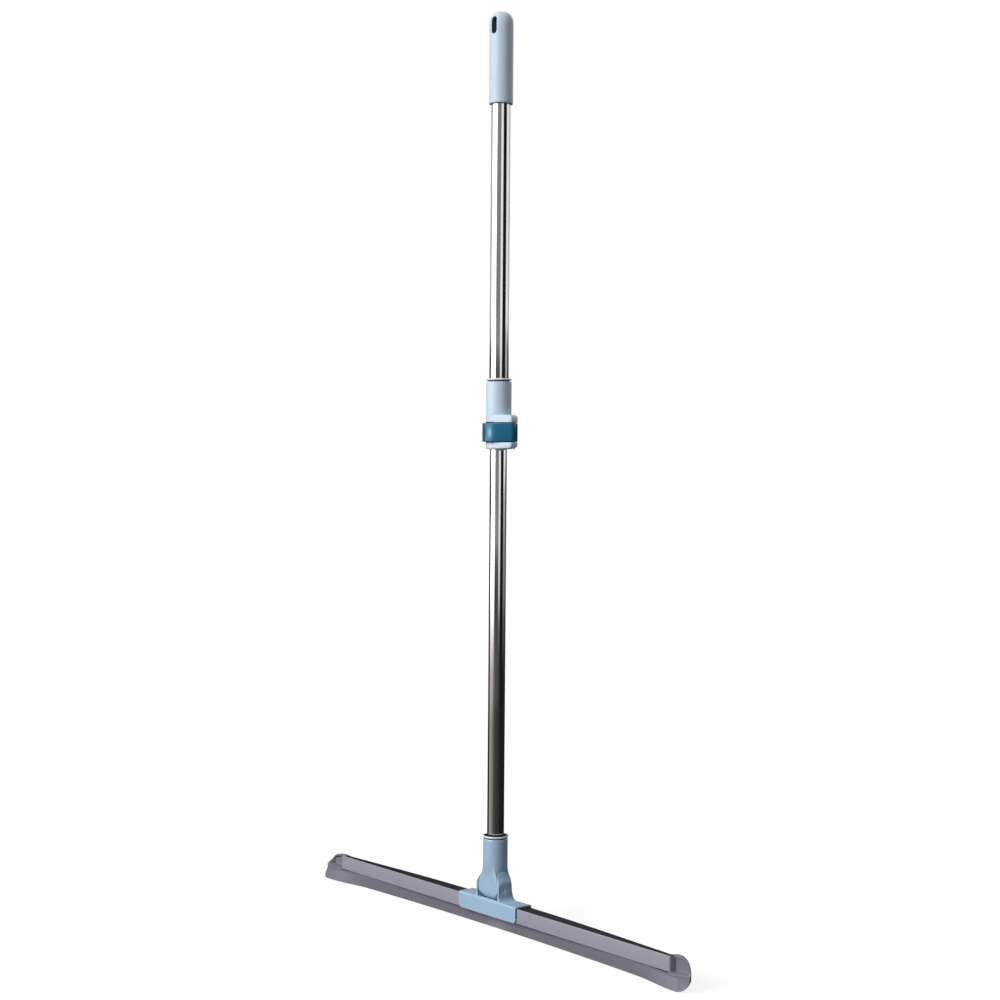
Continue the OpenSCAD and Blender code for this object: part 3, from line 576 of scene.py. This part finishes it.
# rings down the neck: in each a front, a flank and the small bend between them, turned about to close it
def makeNeck():
    z = np.concatenate([np.linspace(g["top"] - g["topRound"], g["blendTop"], 14),
                        np.linspace(g["blendTop"], g["fineTo"], 60)[1:],
                        np.linspace(g["fineTo"], g["pivot"] - g["footFrom"], 24)[1:]])
    footTurn = np.linspace(math.asin(g["footFrom"] / g["footR"]), math.radians(88), 26)[1:]
    z = np.concatenate([z, g["pivot"] - g["footR"] * np.sin(footTurn)])[:, None]
    flat = 1 - ease(z, g["blendLow"], g["blendTop"])
    half = paddleHalf(z)
    foot = np.sqrt(np.maximum(g["footR"] ** 2 - np.minimum(z - g["pivot"], 0) ** 2, 1e-4))
    deep = np.minimum(g["deep"], foot)

    # the sleeve's circle, kept off its very edge
    def circle(across):
        return np.sqrt(g["sleeveR"] ** 2 - np.minimum(across, g["sleeveR"] - 0.1) ** 2)

    # depth of the front at x: the sleeve's circle, flattened towards the tongue
    def frontAt(x):
        return circle(x) * (1 - flat) + deep * flat

    # half width at depth y: the sleeve's circle, or a side that swells from the paddle's edge to the middle
    def sideAt(y):
        swell = half + (tongueHalf(np.abs(z - g["pivot"])) - half) * (1 - (y / edge) ** 2)
        return circle(y) * (1 - flat) + swell * flat

    edge = frontAt(half)
    cut = np.minimum(g["corner"], 0.4 * np.minimum(edge, half))
    across = np.linspace(-1, 1, 61) * (half - cut)
    front = np.stack([across, -frontAt(np.abs(across))], -1)
    down = -np.cos(np.linspace(0, np.pi, 41)) * (edge - cut)
    flank = np.stack([sideAt(np.abs(down)), down], -1)
    s = np.linspace(0, 1, 7)[1:-1, None]
    tip = np.concatenate([half, -edge], 1)[:, None]
    bend = (1 - s) ** 2 * front[:, -1:] + 2 * s * (1 - s) * tip + s ** 2 * flank[:, :1]
    quarter = np.concatenate([front, bend, flank, bend[:, ::-1] * [1, -1]], 1)
    ring = np.concatenate([quarter, -quarter], 1)
    heading = ring[0] / np.linalg.norm(ring[0], axis=1, keepdims=True)
    mouth = np.array([[g["bore"], g["boreLow"]], [g["bore"], g["hub"]], [g["ringBore"], g["hub"]],
                      [g["ringBore"], g["ringLow"]], [g["grooveR"], g["ringLow"]], [g["grooveR"], g["top"]],
                      [g["sleeveR"] - 0.6, g["top"]]])
    skin = np.concatenate([atHeight(mouth[:, :1, None] * heading, mouth[:, 1:]), atHeight(ring, z)])
    shade = np.repeat(np.arange(len(skin) - 1) < len(mouth) - 1, skin.shape[1])  # the mouth and the groove, painted in shade
    addPiece("neck_tongue", [ringSkin(skin)], bluePlastic, "lower_pole", ["neck_socket"],
             sharp=48, second=paintedGapShade, dark=[shade])


makeNeck()
ringLow = g["ringLow"] + g["ringGap"]
neckRing = easeCorners([(g["ringBore"], ringLow), (g["ringR"], ringLow), (g["ringR"], g["ringTop"]),
                        (g["ringBore"], g["ringTop"])], [0.1, 0.5, 0.8, 0.4])
ringInnerShade = np.repeat(np.arange(24) >= 20, 128)  # the ring's inner wall, painted in shade
addPiece("neck_cap_ring", [turned(neckRing)], ringPlastic, "lower_pole", ["neck_ring"],
         second=paintedGapShade, dark=[ringInnerShade])
print("neck made")

# bracket: a bent saddle over the rail with a slot for the tongue's foot, and two cheeks
bracketSize = dict(half=58.5, front=-14.2, back=12.6, top=39.0, frontLow=18.0, backLow=23.0, wall=2.2,
                   bend=2.7, cornerR=6.0, slotX=20.5, slotY=9.0, cheekLow=38.0, cheekTop=75.0, cheekOut=23.1,
                   cheekFine=64, cheekEdge=0.3, gap=0.6, archZ=(38, 46, 54, 60, 64, 67, 70, 72, 73.6, 75),
                   archFront=(12.9, 12.9, 12.9, 12.6, 11.8, 10.6, 8.8, 7.0, 5.0, 2.0),
                   archBack=(12.0, 10.6, 9.0, 8.2, 7.7, 7.4, 6.9, 6.0, 4.6, 2.0), wallZ=(56, 68),
                   wallThick=(4.0, 0.45), flare=5.0, flareTop=48, flareTall=10, broken=0.5)
b = bracketSize


# the lid between two matching grids where keep is true: both faces, and a rim along every open edge
def sheetSkin(outer, inner, keep):
    rows, cols = outer.shape[:2]
    quads = gridQuads(rows, cols).reshape(rows - 1, cols - 1, 4)[keep]
    count = rows * cols
    index = np.arange(count).reshape(rows, cols)
    padR = np.pad(keep, ((1, 1), (0, 0)))
    padC = np.pad(keep, ((0, 0), (1, 1)))
    r, c0 = np.nonzero(padR[1:] != padR[:-1])
    rimR = np.stack([index[r, c0], index[r, c0 + 1]], -1)
    r0, cc = np.nonzero(padC[:, 1:] != padC[:, :-1])
    rimC = np.stack([index[r0, cc], index[r0 + 1, cc]], -1)
    rim = np.concatenate([rimR, rimC])
    walls = np.stack([rim[:, 0], rim[:, 1], rim[:, 1] + count, rim[:, 0] + count], -1)
    points = np.concatenate([outer.reshape(-1, 3), inner.reshape(-1, 3)])
    return points, np.concatenate([quads, quads[:, ::-1] + count, walls]), []


# a bent path in y and z carried along x for the saddle, and an arch carried outwards from the tongue
# for each cheek
def makeBracket():
    a = np.linspace(0, np.pi / 2, 7)
    bendIn, bendOut = b["bend"] * (1 - np.cos(a)), b["bend"] * (1 - np.sin(a))
    frontEdge, backEdge = b["front"] + b["bend"], b["back"] - b["bend"]
    over = np.unique(np.concatenate([np.linspace(frontEdge, -b["slotY"], 3),
                                     np.linspace(-b["slotY"], b["slotY"], 10),
                                     np.linspace(b["slotY"], backEdge, 2)]))
    y = np.concatenate([np.full(9, b["front"]), b["front"] + bendIn, over[1:-1], b["back"] - bendIn[::-1],
                        np.full(7, b["back"])])
    z = np.concatenate([np.linspace(b["frontLow"], b["top"] - b["bend"], 10)[:-1], b["top"] - bendOut,
                        np.full(len(over) - 2, b["top"]), b["top"] - bendOut[::-1],
                        np.linspace(b["top"] - b["bend"], b["backLow"], 8)[1:]])
    path = np.stack([y, z], -1)
    along = np.gradient(path, axis=0)
    normal = np.stack([-along[:, 1], along[:, 0]], -1)
    normal /= np.linalg.norm(normal, axis=1, keepdims=True)
    normal = np.where(np.abs(normal) < 0.12, 0, normal)  # square on the flats
    normal /= np.linalg.norm(normal, axis=1, keepdims=True)
    under = path - normal * b["wall"]
    tail = b["half"] - b["cornerR"] * (1 - np.sin(np.linspace(0, np.pi / 2, 9)))
    x = np.concatenate([np.linspace(0, b["slotX"], 5)[:-1], np.linspace(b["slotX"], tail[0], 9)[:-1], tail])
    x = np.concatenate([-x[:0:-1], x])
    lift = b["cornerR"] - np.sqrt(np.maximum(b["cornerR"] ** 2
                                             - np.maximum(np.abs(x) - b["half"] + b["cornerR"], 0) ** 2, 0))
    frontSide = y < 0
    tall = np.where(frontSide, b["top"] - b["frontLow"], b["top"] - b["backLow"])
    squeeze = 1 - lift[:, None] / tall

    # the section at every x, its plates shortened below the bend where the corners are round
    def carry(section):
        fall, bend = b["top"] - section[:, 1], b["bend"]
        shorter = bend + (fall - bend) * (squeeze * tall - bend) / (tall - bend)
        return np.stack(np.broadcast_arrays(x[:, None], section[:, 0],
                                            b["top"] - np.where(fall > bend, shorter, fall)), -1)

    outer, inner = carry(path), carry(under)
    midX, midY = (x[1:] + x[:-1]) / 2, (y[1:] + y[:-1]) / 2
    flatTop = (z[1:] > b["top"] - 0.01) & (z[:-1] > b["top"] - 0.01)
    hole = (np.abs(midX) < b["slotX"])[:, None] & ((np.abs(midY) < b["slotY"]) & flatTop)
    saddle = sheetSkin(outer, inner, ~hole)
    # cheeks: an arch in y and z, thick from the tongue's face to a face that flares at its foot and
    # comes down to the neck at the top
    rise = np.concatenate([np.linspace(b["cheekLow"], b["cheekFine"], 20),
                           np.linspace(b["cheekFine"], b["cheekTop"], 18)[1:]])
    frontY, backY = (np.interp(rise, b["archZ"], b[key]) for key in ("archFront", "archBack"))
    foot = np.linspace(-frontY[0], backY[0], 13)[1:-1]
    plan = np.concatenate([np.stack([foot, np.full(11, b["cheekLow"])], -1), np.stack([backY, rise], -1),
                           [(0.0, b["cheekTop"] + 0.1)], np.stack([-frontY, rise], -1)[::-1]])

    # x of a cheek's inner face: the tongue's half width and a gap
    def faceIn(yy, zz):
        return tongueHalf(np.hypot(yy, zz - neckSize["pivot"])) + b["gap"]

    # x of its outer face: a wall that thins upwards, and a cubic flare at the foot
    def faceOut(yy, zz):
        flare = b["flare"] * np.clip((b["flareTop"] - zz) / b["flareTall"], 0, 1) ** 3
        wall = np.interp(zz, b["wallZ"], b["wallThick"])
        return np.minimum(faceIn(yy, zz) + wall, b["cheekOut"]) + flare

    cheek = block(plan, faceIn, faceOut, b["cheekEdge"], fan=True)
    right = cheek[..., [2, 0, 1]]
    corners = saddle[0][saddle[1]]
    ends = (np.ptp(corners[..., 0], axis=1) < 1e-6) & (np.abs(corners[:, 0, 0]) > b["half"] - 0.01)
    ends &= corners[:, :, 1].max(1) < b["front"] + b["wall"] + 0.1  # the ends of the front plate, painted in shade
    piece = addPiece("saddle_bracket", [saddle, ringSkin(right), ringSkin(right * [-1, 1, 1])], bluePlastic,
                     "head", ["head_bracket"], second=paintedGapShade, dark=[ends, None, None])
    bevel = piece.modifiers.new("broken edges", "BEVEL")
    bevel.width, bevel.segments, bevel.limit_method = b["broken"] * 0.001, 2, "ANGLE"
    bevel.angle_limit = math.radians(50)
    bevel.harden_normals = True


makeBracket()
print("bracket made")

# rail: an open channel with a flat front, its back wall on the blade's arc
railSize = dict(half=335.0, front=-12.0, back=7.6, low=18.0, top=36.5, backTop=34.4, floor=30.0, wall=2.2,
                edge=0.5, endR=2.5, hair=0.05, floorCut=0.4, frontCut=1.4, backCut=0.6)
r = railSize


# front points keep their distance from the front face, back points from the arc of the back
def railSections(x, section, drawn):
    section = np.broadcast_to(section, x.shape + section.shape)
    section = section - outward(section) * drawn[:, None, None]
    inside = r["back"] - r["front"] - 2 * r["wall"]
    share = np.clip((section[..., 0] - r["front"] - r["wall"]) / inside, 0, 1)
    pull = bowLine(x, r["back"])[:, None] - r["back"]
    over = np.clip(np.abs(x) - r["half"] + r["endR"], 0, r["endR"])
    ends = (r["endR"] - np.sqrt(r["endR"] ** 2 - over ** 2))[:, None]  # the front turns in at both ends
    rim = r["backTop"] + (r["top"] - r["backTop"]) * (1 - share) - r["hair"]
    closed = (np.abs(x) > r["half"] - r["wall"])[:, None] & (section[..., 1] > r["floor"] - r["floorCut"])
    closed &= (section[..., 0] > r["front"] + r["frontCut"]) & (section[..., 0] < r["back"] - r["backCut"])
    # the channel stops short of both ends
    z = np.where(closed & (section[..., 1] < rim), rim, section[..., 1])
    return np.stack([section[..., 0] + share * pull + (1 - share) * ends, z], -1)


railLoop = easeCorners([(r["front"], r["low"]), (r["back"], r["low"]), (r["back"], r["backTop"]),
                        (r["back"] - r["wall"], r["backTop"]), (r["back"] - r["wall"], r["floor"]),
                        (r["front"] + r["wall"], r["floor"]), (r["front"] + r["wall"], r["top"]),
                        (r["front"], r["top"])], [0.7, 0.5, 0.5, 0.3, 0.3, 0.3, 0.5, 1.3])
x, drawn = endStations(r["half"], r["edge"], 90)
near = r["half"] - np.array([0.8, 1.2, 1.6, r["wall"] - r["hair"], r["wall"] + r["hair"], r["endR"]])
x = np.concatenate([x, near, -near])
order = np.argsort(x)
x, drawn = x[order], np.concatenate([drawn, np.zeros(2 * len(near))])[order]
addPiece("blade_rail", [ringSkin(alongX(x, railSections(x, railLoop, drawn)))], railPlastic, "head", ["rail"])

# stiffener: a black strip in the channel whose top is ribbed lengthways
stiffSize = dict(half=332.7, low=30.1, top=36.3, edge=0.1, ribs=5, deep=1.4, ribFrom=0.15, ribTo=0.85,
                 cover=10.3, coverLow=34.5, tuck=0.8, tuckFrom=120, tuckTo=330)
g = stiffSize
front, back = r["front"] + r["wall"] + r["hair"], r["back"] - r["wall"] - r["hair"]
across = np.linspace(g["cover"], front, 141)[1:-1]
wave = 0.5 + 0.5 * np.cos(2 * np.pi * g["ribs"] * (across - front) / (g["cover"] - front))
ribTop = np.stack([across, g["top"] - g["deep"] * ease(wave, g["ribFrom"], g["ribTo"])], -1)
stiffLoop = np.concatenate([[(front, g["low"]), (back, g["low"]), (back, g["coverLow"]),
                             (g["cover"], g["coverLow"]), (g["cover"], g["top"] - g["deep"])],
                            ribTop, [(front, g["top"] - g["deep"])]])
x, drawn = endStations(g["half"], g["edge"], 90)
strip = railSections(x, stiffLoop, drawn)
tuck = g["tuck"] * ease(np.abs(x), g["tuckFrom"], g["tuckTo"])[:, None]  # the cover draws back to both ends
strip[..., 0] -= np.clip(stiffLoop[:, 0] - back, 0, None) * tuck
addPiece("channel_ribs", [ringSkin(alongX(x, strip))], stiffPlastic, "head", ["rail_stiffener"],
         sharp=60)
print("rail made")

# blade: one rubber section along the arc, lip, ledge and back sheet, which ends in ears with a rolled rim
bladeSize = dict(half=364.0, lipLow=1.25, lipTop=3.0, under=14.0, ledge=18.0, sheetIn=7.6, sheetOut=10.4,
                 sheetTop=34.4, rim=3.0, rimWide=3.0, earFrom=335.5, topLong=20.0, backLong=14, backRise=8,
                 tipLong=24, tipShut=0.004, leftDrop=11.5, rightDrop=13.5, leftLowR=7.0, rightLowR=17.0,
                 rise=3.0, leftTop=36.2, rightTop=38.0, leftReach=1.1, rightReach=1.235, leftPull=0.012,
                 rightPull=0.040, lean=6.0, slant=0.35, slantLong=14, thinLip=0.8, thinLedge=1.2,
                 thinTop=0.6, thinRim=0.3)
g = bladeSize


# eleven corners of a section at each x, eased and set along the arc; the ears grow out of the last stretch
def makeBlade():
    tip = g["half"] - g["tipLong"] * (1 - np.sin(np.linspace(0, np.pi / 2, 48)))
    x = np.concatenate([np.linspace(0, tip[0], 60)[:-1], tip[:-1], [g["half"] - g["tipShut"]]])
    x = np.concatenate([-x[:0:-1], x])
    far = np.abs(x)

    # a measure that differs between the left and the right ear
    def atEar(name):
        return np.where(x > 0, g["right" + name], g["left" + name])

    # a smooth step between two distances from the start of the ears
    def fromEar(start, end):
        return ease(far, g["earFrom"] + start, g["earFrom"] + end)

    # a quarter round over the last stretch, from 0 to 1
    def endRound(stretch):
        return 1 - np.sqrt(1 - np.clip((far - g["half"] + stretch) / stretch, 0, 1) ** 2)

    top = g["sheetTop"] + (atEar("Top") - g["sheetTop"]) * fromEar(-14, 4)
    top = top - atEar("Drop") * endRound(g["topLong"])
    low = atEar("LowR") * endRound(atEar("LowR"))
    rise = g["rise"] * ease(far, g["earFrom"] + 2, g["half"] - 3)
    under = np.maximum(g["under"] + rise, low + g["thinLip"])
    # the sheet's end is round below too
    underBack = np.minimum(under + g["backRise"] * endRound(g["backLong"]), top - 1)
    ledge = np.minimum(np.maximum(g["ledge"] + rise, under + g["thinLedge"]), top - g["thinTop"])
    rim = g["rim"] * fromEar(-0.5, 3)
    rimLow = np.maximum(top - g["rimWide"], ledge + g["thinRim"])
    lipShare = np.clip((under - low) / g["under"], 0.1, 1)
    lipHalf = g["lipTop"] - (g["lipTop"] - g["lipLow"]) * lipShare
    rimIn = g["sheetIn"] - rim
    corners = np.stack([np.stack([y + 0 * x, z], -1) for y, z in (
        (-lipHalf, low), (lipHalf, low), (g["lipTop"], under), (g["sheetOut"], underBack),
        (g["sheetOut"], top), (rimIn, top), (rimIn, rimLow), (g["sheetIn"], rimLow - 0.2),
        (g["sheetIn"], ledge), (-g["lipTop"], ledge), (-g["lipTop"], under))], 1)
    # near the tip a wall closes the ear: its rim runs straight from the sheet's top down to the lip
    wall = ease(far, g["half"] - g["rimWide"] - 1.0, g["half"] - g["rimWide"] + 0.8)[:, None, None]
    rimTop = corners[:, 5:6] + [g["rim"] - 2, 0]
    share = np.array([0.0, 0.3, 0.6, 0.85, 1.0])[:, None]
    slope = rimTop + (corners[:, 9:10] - rimTop) * share
    corners[:, 5:10] += (slope - corners[:, 5:10]) * wall
    section = easeCorners(corners, [0.4, 0.4, 1.0, 0.8, 0.9, 1.0, 0.8, 0.8, 1.0, 0.9, 1.4], 5)
    # the ear ends on a slant: the lip reaches further out than the back sheet
    reach = atEar("Reach")[:, None] - atEar("Pull")[:, None] * np.clip(section[..., 0], 0, None)
    out = np.clip(far - g["earFrom"], 0, None)[:, None] * (reach - 1) * np.sign(x)[:, None]
    drawnOut = g["slant"] * np.clip(g["under"] - section[..., 1], 0, None)
    leftEnd = np.where(x < 0, ease(far, g["half"] - g["slantLong"], g["half"]), 0)[:, None]
    out = out - leftEnd * drawnOut  # the left end slants
    lean = fromEar(-60, 6)[:, None] * np.clip(1 - section[..., 1] / g["under"], 0, 1)
    y = bowLine(x[:, None], section[..., 0]) - g["lean"] * lean  # the lip stands forward under the ears
    grid = alongX(x, np.stack([y, section[..., 1]], -1))
    grid[..., 0] += out
    underRail = (far[:-1] < g["earFrom"]) & (far[1:] < g["earFrom"])
    step = np.arange(section.shape[1]) - 9 * 6  # from the ledge's front corner, six points to a corner
    line = underRail[:, None] & (step >= 0) & (step < 5)  # a painted shadow line under the rail
    addPiece("wiper_blade", [ringSkin(grid)], bladeRubber, "head", ["blade"], sharp=45,
             second=paintedGapShade, dark=[line.ravel()])


makeBlade()
print("blade made")

# what all screw heads share
screwSize = dict(cross=0.55, crossReach=0.62, crossSoft=0.12, deep=0.7, dome=0.7, domePower=2.5, crowd=0.8)


# a low dome on polar steps with a cross cut, a straight rim and a shank, along any direction
def screwSkin(centre, direction, radius, height, shankR, shankLong, cross=True):
    k = screwSize
    share = np.linspace(0, 1, 26)[1:] ** k["crowd"]
    t = np.linspace(0, 2 * np.pi, 96, endpoint=False)
    u, v = radius * share[:, None] * np.cos(t), radius * share[:, None] * np.sin(t)
    h = height - k["dome"] * share[:, None] ** k["domePower"] + 0 * t
    if cross:
        reach, soft = radius * k["crossReach"], k["crossSoft"]
        arms = [ease(k["cross"] - np.abs(a), -soft, soft) * (np.abs(b) < reach) for a, b in ((u, v), (v, u))]
        h = h - k["deep"] * np.maximum(*arms)
    lower = turnedGrid([(radius, 0.0), (shankR, 0.0), (shankR, -shankLong)], t)
    ring = np.concatenate([np.stack([u, v, h], -1), lower])
    along = Vector(direction).normalized()
    turnTo = np.array(along.to_track_quat("Z", "Y").to_matrix()).T
    return ringSkin(ring @ turnTo + np.asarray(centre, float))


# a point at a radius, an angle in degrees and a height
def polar(radius, degrees, z):
    return (radius * math.cos(math.radians(degrees)), radius * math.sin(math.radians(degrees)), z)


saddleScrew = dict(direction=(0, 1, 0), radius=3.4, height=1.6, shankR=1.5, shankLong=6.0)
saddleAt = dict(x=42, y=bracketSize["back"], z=29.0)
saddleScrews = [screwSkin((x, saddleAt["y"], saddleAt["z"]), **saddleScrew)
                for x in (-saddleAt["x"], saddleAt["x"])]
addPiece("saddle_screws", saddleScrews, fastenerSteel, "head", ["bracket_screws"])
neckScrew = dict(centre=(0, 15.2, 101.75), direction=(0, 1, 0), radius=3.0, height=1.5, shankR=1.4,
                 shankLong=4.0)
addPiece("neck_set_screw", [screwSkin(**neckScrew)], fastenerSteel, "lower_pole", ["neck_screw"])
screwTurn = 180 + collarSize["clampTurn"]
collarScrew = dict(centre=polar(15.7, screwTurn, 687.65), direction=polar(1, screwTurn, 0), radius=3.0,
                   height=1.5, shankR=1.4, shankLong=3.0)
addPiece("collar_set_screw", [screwSkin(**collarScrew)], fastenerSteel, "upper_pole", ["collar_screw"])
tiltPin = dict(centre=(bracketSize["cheekOut"], 0, neckSize["pivot"]), direction=(1, 0, 0), radius=4.5,
               height=1.6, shankR=2.4, shankLong=46.0, cross=False)
addPiece("tilt_pin", [screwSkin(**tiltPin)], bluePlastic, "head", ["pivot_pin"])
tiltNut = dict(r=4.9, low=23.15, high=26.6, edge=0.5)
hexPlan = easeCorners(onCircle(np.radians(np.arange(6) * 60), tiltNut["r"]), tiltNut["edge"], 3)
nut = block(hexPlan, tiltNut["low"], tiltNut["high"], tiltNut["edge"])
nut = np.stack([-nut[..., 2], nut[..., 0], nut[..., 1] + neckSize["pivot"]], -1)
addPiece("tilt_nut", [ringSkin(nut)], fastenerSteel, "head", ["pivot_nut"])
print("fasteners made")

# pieces that the lock and the pole hide keep their solids
hidden = dict(tube_plug=innerPlastic, guide_bush=innerPlastic, guide_plug=innerPlastic,
              pivot_washers=innerPlastic, hinge_pin=fastenerSteel, brake_shoe=shoeRubber)
for nodeName, finish in hidden.items():
    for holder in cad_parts[nodeName].material_slots:
        holder.material = finish

# stage: floor, world, two lamps, and cards that only glossy surfaces see
studio = dict(ambient=0.21, key=2.5, keyAngle=32.0, keyTip=30.0, keyTurn=4.0, fill=0.7, fillAngle=40.0,
              fillTip=30.0, fillTurn=160.0, floorGlow=0.84, floorTone=0.25, floorHalf=30, floorZ=-0.0004,
              tentR=1.2, discR=0.02, discZ=0.0002, warmCard=(1, 0.93, 0.87), warmFloor=(1, 0.93, 0.84))


# a mesh of the stage
def stageMesh(name, points, quads):
    mesh = bpy.data.meshes.new(name)
    mesh.from_pydata(points.tolist(), [], quads.tolist())
    thing = bpy.data.objects.new(name, mesh)
    bpy.context.collection.objects.link(thing)
    return thing


# one for rays from the camera, off gloss and through a surface, otherwise nought
def backgroundRay(tree):
    path = tree.nodes.new("ShaderNodeLightPath")
    seen = mathNode(tree, "MAXIMUM", path.outputs["Is Camera Ray"], path.outputs["Is Glossy Ray"])
    return mathNode(tree, "MAXIMUM", seen, path.outputs["Is Transmission Ray"])


world = bpy.data.worlds.new("studio")
bpy.context.scene.world = world
world.use_nodes = True
tree = world.node_tree
sky = tree.nodes["Background"]
sky.inputs["Color"].default_value = (1, 1, 1, 1)
tree.links.new(rangeNode(tree, backgroundRay(tree), 0.0, 1.0, studio["ambient"], 1.0), sky.inputs["Strength"])

square = np.array([[-1, -1, 0], [1, -1, 0], [1, 1, 0], [-1, 1, 0]])
floor = stageMesh("floor", studio["floorHalf"] * square + [0, 0, studio["floorZ"]], np.array([[0, 1, 2, 3]]))
floorPaint, tree, plain = startFinish("floor_paint")
tree.nodes.remove(plain)
matt, glow, both = (tree.nodes.new("ShaderNode" + kind) for kind in ("BsdfDiffuse", "Emission", "AddShader"))
feed(tree, matt, {"Color": (studio["floorTone"],) * 3})
feed(tree, glow, {"Strength": mathNode(tree, "MULTIPLY", backgroundRay(tree), studio["floorGlow"])})
feed(tree, both, {0: matt.outputs[0], 1: glow.outputs[0]})
feed(tree, tree.nodes["Material Output"], {"Surface": both.outputs[0]})
floor.data.materials.append(floorPaint)


# a wide lamp that shines along its turn from the front, tipped down
def addLamp(name, energy, width, tip, turn, shadow=True):
    sun = bpy.data.lights.new(name, "SUN")
    sun.energy, sun.angle, sun.use_shadow = energy, math.radians(width), shadow
    lamp = bpy.data.objects.new(name, sun)
    tip, turn = math.radians(tip), math.radians(turn)
    beam = Vector((math.sin(turn) * math.cos(tip), math.cos(turn) * math.cos(tip), -math.sin(tip)))
    lamp.rotation_euler = beam.to_track_quat("-Z", "Y").to_euler()
    bpy.context.collection.objects.link(lamp)


addLamp("key", studio["key"], studio["keyAngle"], studio["keyTip"], studio["keyTurn"])
addLamp("back fill", studio["fill"], studio["fillAngle"], studio["fillTip"], studio["fillTurn"], shadow=False)

# brightness of the strips round the pole, as a studio's cards and flags would be: across, the angle from the
# camera's side; down, the height in metres
stripAngle = [-180, -112, -104, -88, -70, -58, -49, -41, 6, 12, 32, 36, 74, 84, 110, 118, 180]
stripHeight = [0.0, 0.14, 0.29, 0.40, 0.52, 0.595, 0.607, 0.69, 0.70, 0.71, 0.78, 3.0]
stripLevel = np.array([
    [0.02, 0.03, 0.50, 0.48, 0.45, 0.42, 0.40, 0.15, 0.10, 0.07, 0.06, 0.02, 0.01, 0.02, 0.02, 0.02, 0.02],
    [0.03, 0.03, 0.60, 0.58, 0.55, 0.52, 0.50, 0.15, 0.10, 0.07, 0.06, 0.02, 0.01, 0.02, 0.02, 0.02, 0.02],
    [0.03, 0.03, 1.20, 1.20, 1.20, 1.20, 1.20, 0.10, 0.07, 0.16, 0.16, 0.01, 0.01, 0.10, 0.10, 0.04, 0.04],
    [0.03, 0.03, 3.00, 3.00, 3.00, 3.00, 3.00, 0.05, 0.05, 0.60, 0.60, 0.01, 0.01, 0.25, 0.25, 0.10, 0.10],
    [0.03, 0.03, 3.00, 3.00, 3.00, 3.00, 3.00, 0.12, 0.10, 0.85, 0.85, 0.01, 0.01, 0.32, 0.32, 0.08, 0.06],
    [0.03, 0.03, 3.00, 3.00, 13.0, 13.0, 3.00, 0.36, 0.34, 0.95, 0.95, 0.01, 0.01, 0.45, 0.45, 0.02, 0.02],
    [0.03, 0.03, 1.00, 3.00, 13.0, 13.0, 6.00, 0.30, 0.28, 0.96, 0.96, 0.01, 0.01, 0.50, 0.50, 0.02, 0.02],
    [0.03, 0.03, 1.00, 3.00, 13.0, 13.0, 6.00, 0.30, 0.28, 0.96, 0.96, 0.01, 0.01, 0.50, 0.50, 0.02, 0.02],
    [0.03, 0.03, 3.00, 3.00, 13.0, 13.0, 3.00, 0.26, 0.26, 0.98, 0.98, 0.01, 0.01, 0.75, 0.55, 0.02, 0.02],
    [0.10, 0.10, 3.00, 3.00, 13.0, 13.0, 3.00, 0.24, 0.24, 1.00, 1.00, 0.01, 0.01, 1.00, 0.60, 0.02, 0.02],
    [0.50, 0.50, 3.00, 3.00, 3.00, 3.00, 3.00, 0.24, 0.24, 1.00, 1.00, 0.01, 0.01, 1.00, 1.00, 0.55, 0.55],
    [0.55, 0.55, 3.00, 3.00, 3.00, 3.00, 3.00, 0.24, 0.24, 1.00, 1.00, 0.01, 0.01, 1.00, 1.00, 0.55, 0.55]])
stripWarm = [1.0, 1.0, 0.8, 0.5, 0.4, 0.3, 0.2, 0.2, 0.2, 0.2, 0.2, 0.1]
discAngle = [-180, -112, -104, -70, -47, -30, 0, 60, 100, 180]
discLevel = [0.02, 0.03, 0.42, 0.32, 0.17, 0.08, 0.05, 0.015, 0.015, 0.02]


# a glowing skin with a colour at each point, which only glossy surfaces see
def glossyOnly(name, grid, level):
    thing = stageMesh(name, grid.reshape(-1, 3), gridQuads(*grid.shape[:2], False, True))
    colour = thing.data.attributes.new("level", "FLOAT_COLOR", "POINT")
    colour.data.foreach_set("color", atHeight(level, 1.0).ravel())  # an alpha of one beside the colour
    paint, tree, plain = startFinish(name)
    tree.nodes.remove(plain)
    read, glow = tree.nodes.new("ShaderNodeAttribute"), tree.nodes.new("ShaderNodeEmission")
    read.attribute_name = "level"
    feed(tree, glow, {"Color": read.outputs["Color"]})
    feed(tree, tree.nodes["Material Output"], {"Surface": glow.outputs[0]})
    thing.data.materials.append(paint)
    thing.visible_camera = thing.visible_diffuse = thing.visible_shadow = thing.visible_transmission = False


delta = np.linspace(-180, 180, 720, endpoint=False)
around = np.radians(view["turn"] - 90 + delta)
warm = 1 - (1 - np.array(studio["warmCard"])) * np.array(stripWarm)[:, None, None]
level = np.stack([np.interp(delta, stripAngle, row) for row in stripLevel])[..., None] * warm
glossyOnly("strips", turnedGrid([(studio["tentR"], z) for z in stripHeight], around), level)
discTone = np.interp(delta, discAngle, discLevel)[:, None] * np.array(studio["warmFloor"])
discRings = [(radius, studio["discZ"]) for radius in (studio["discR"], studio["tentR"])]
glossyOnly("floor_card", turnedGrid(discRings, around), np.stack([discTone, discTone]))
print("stage set")
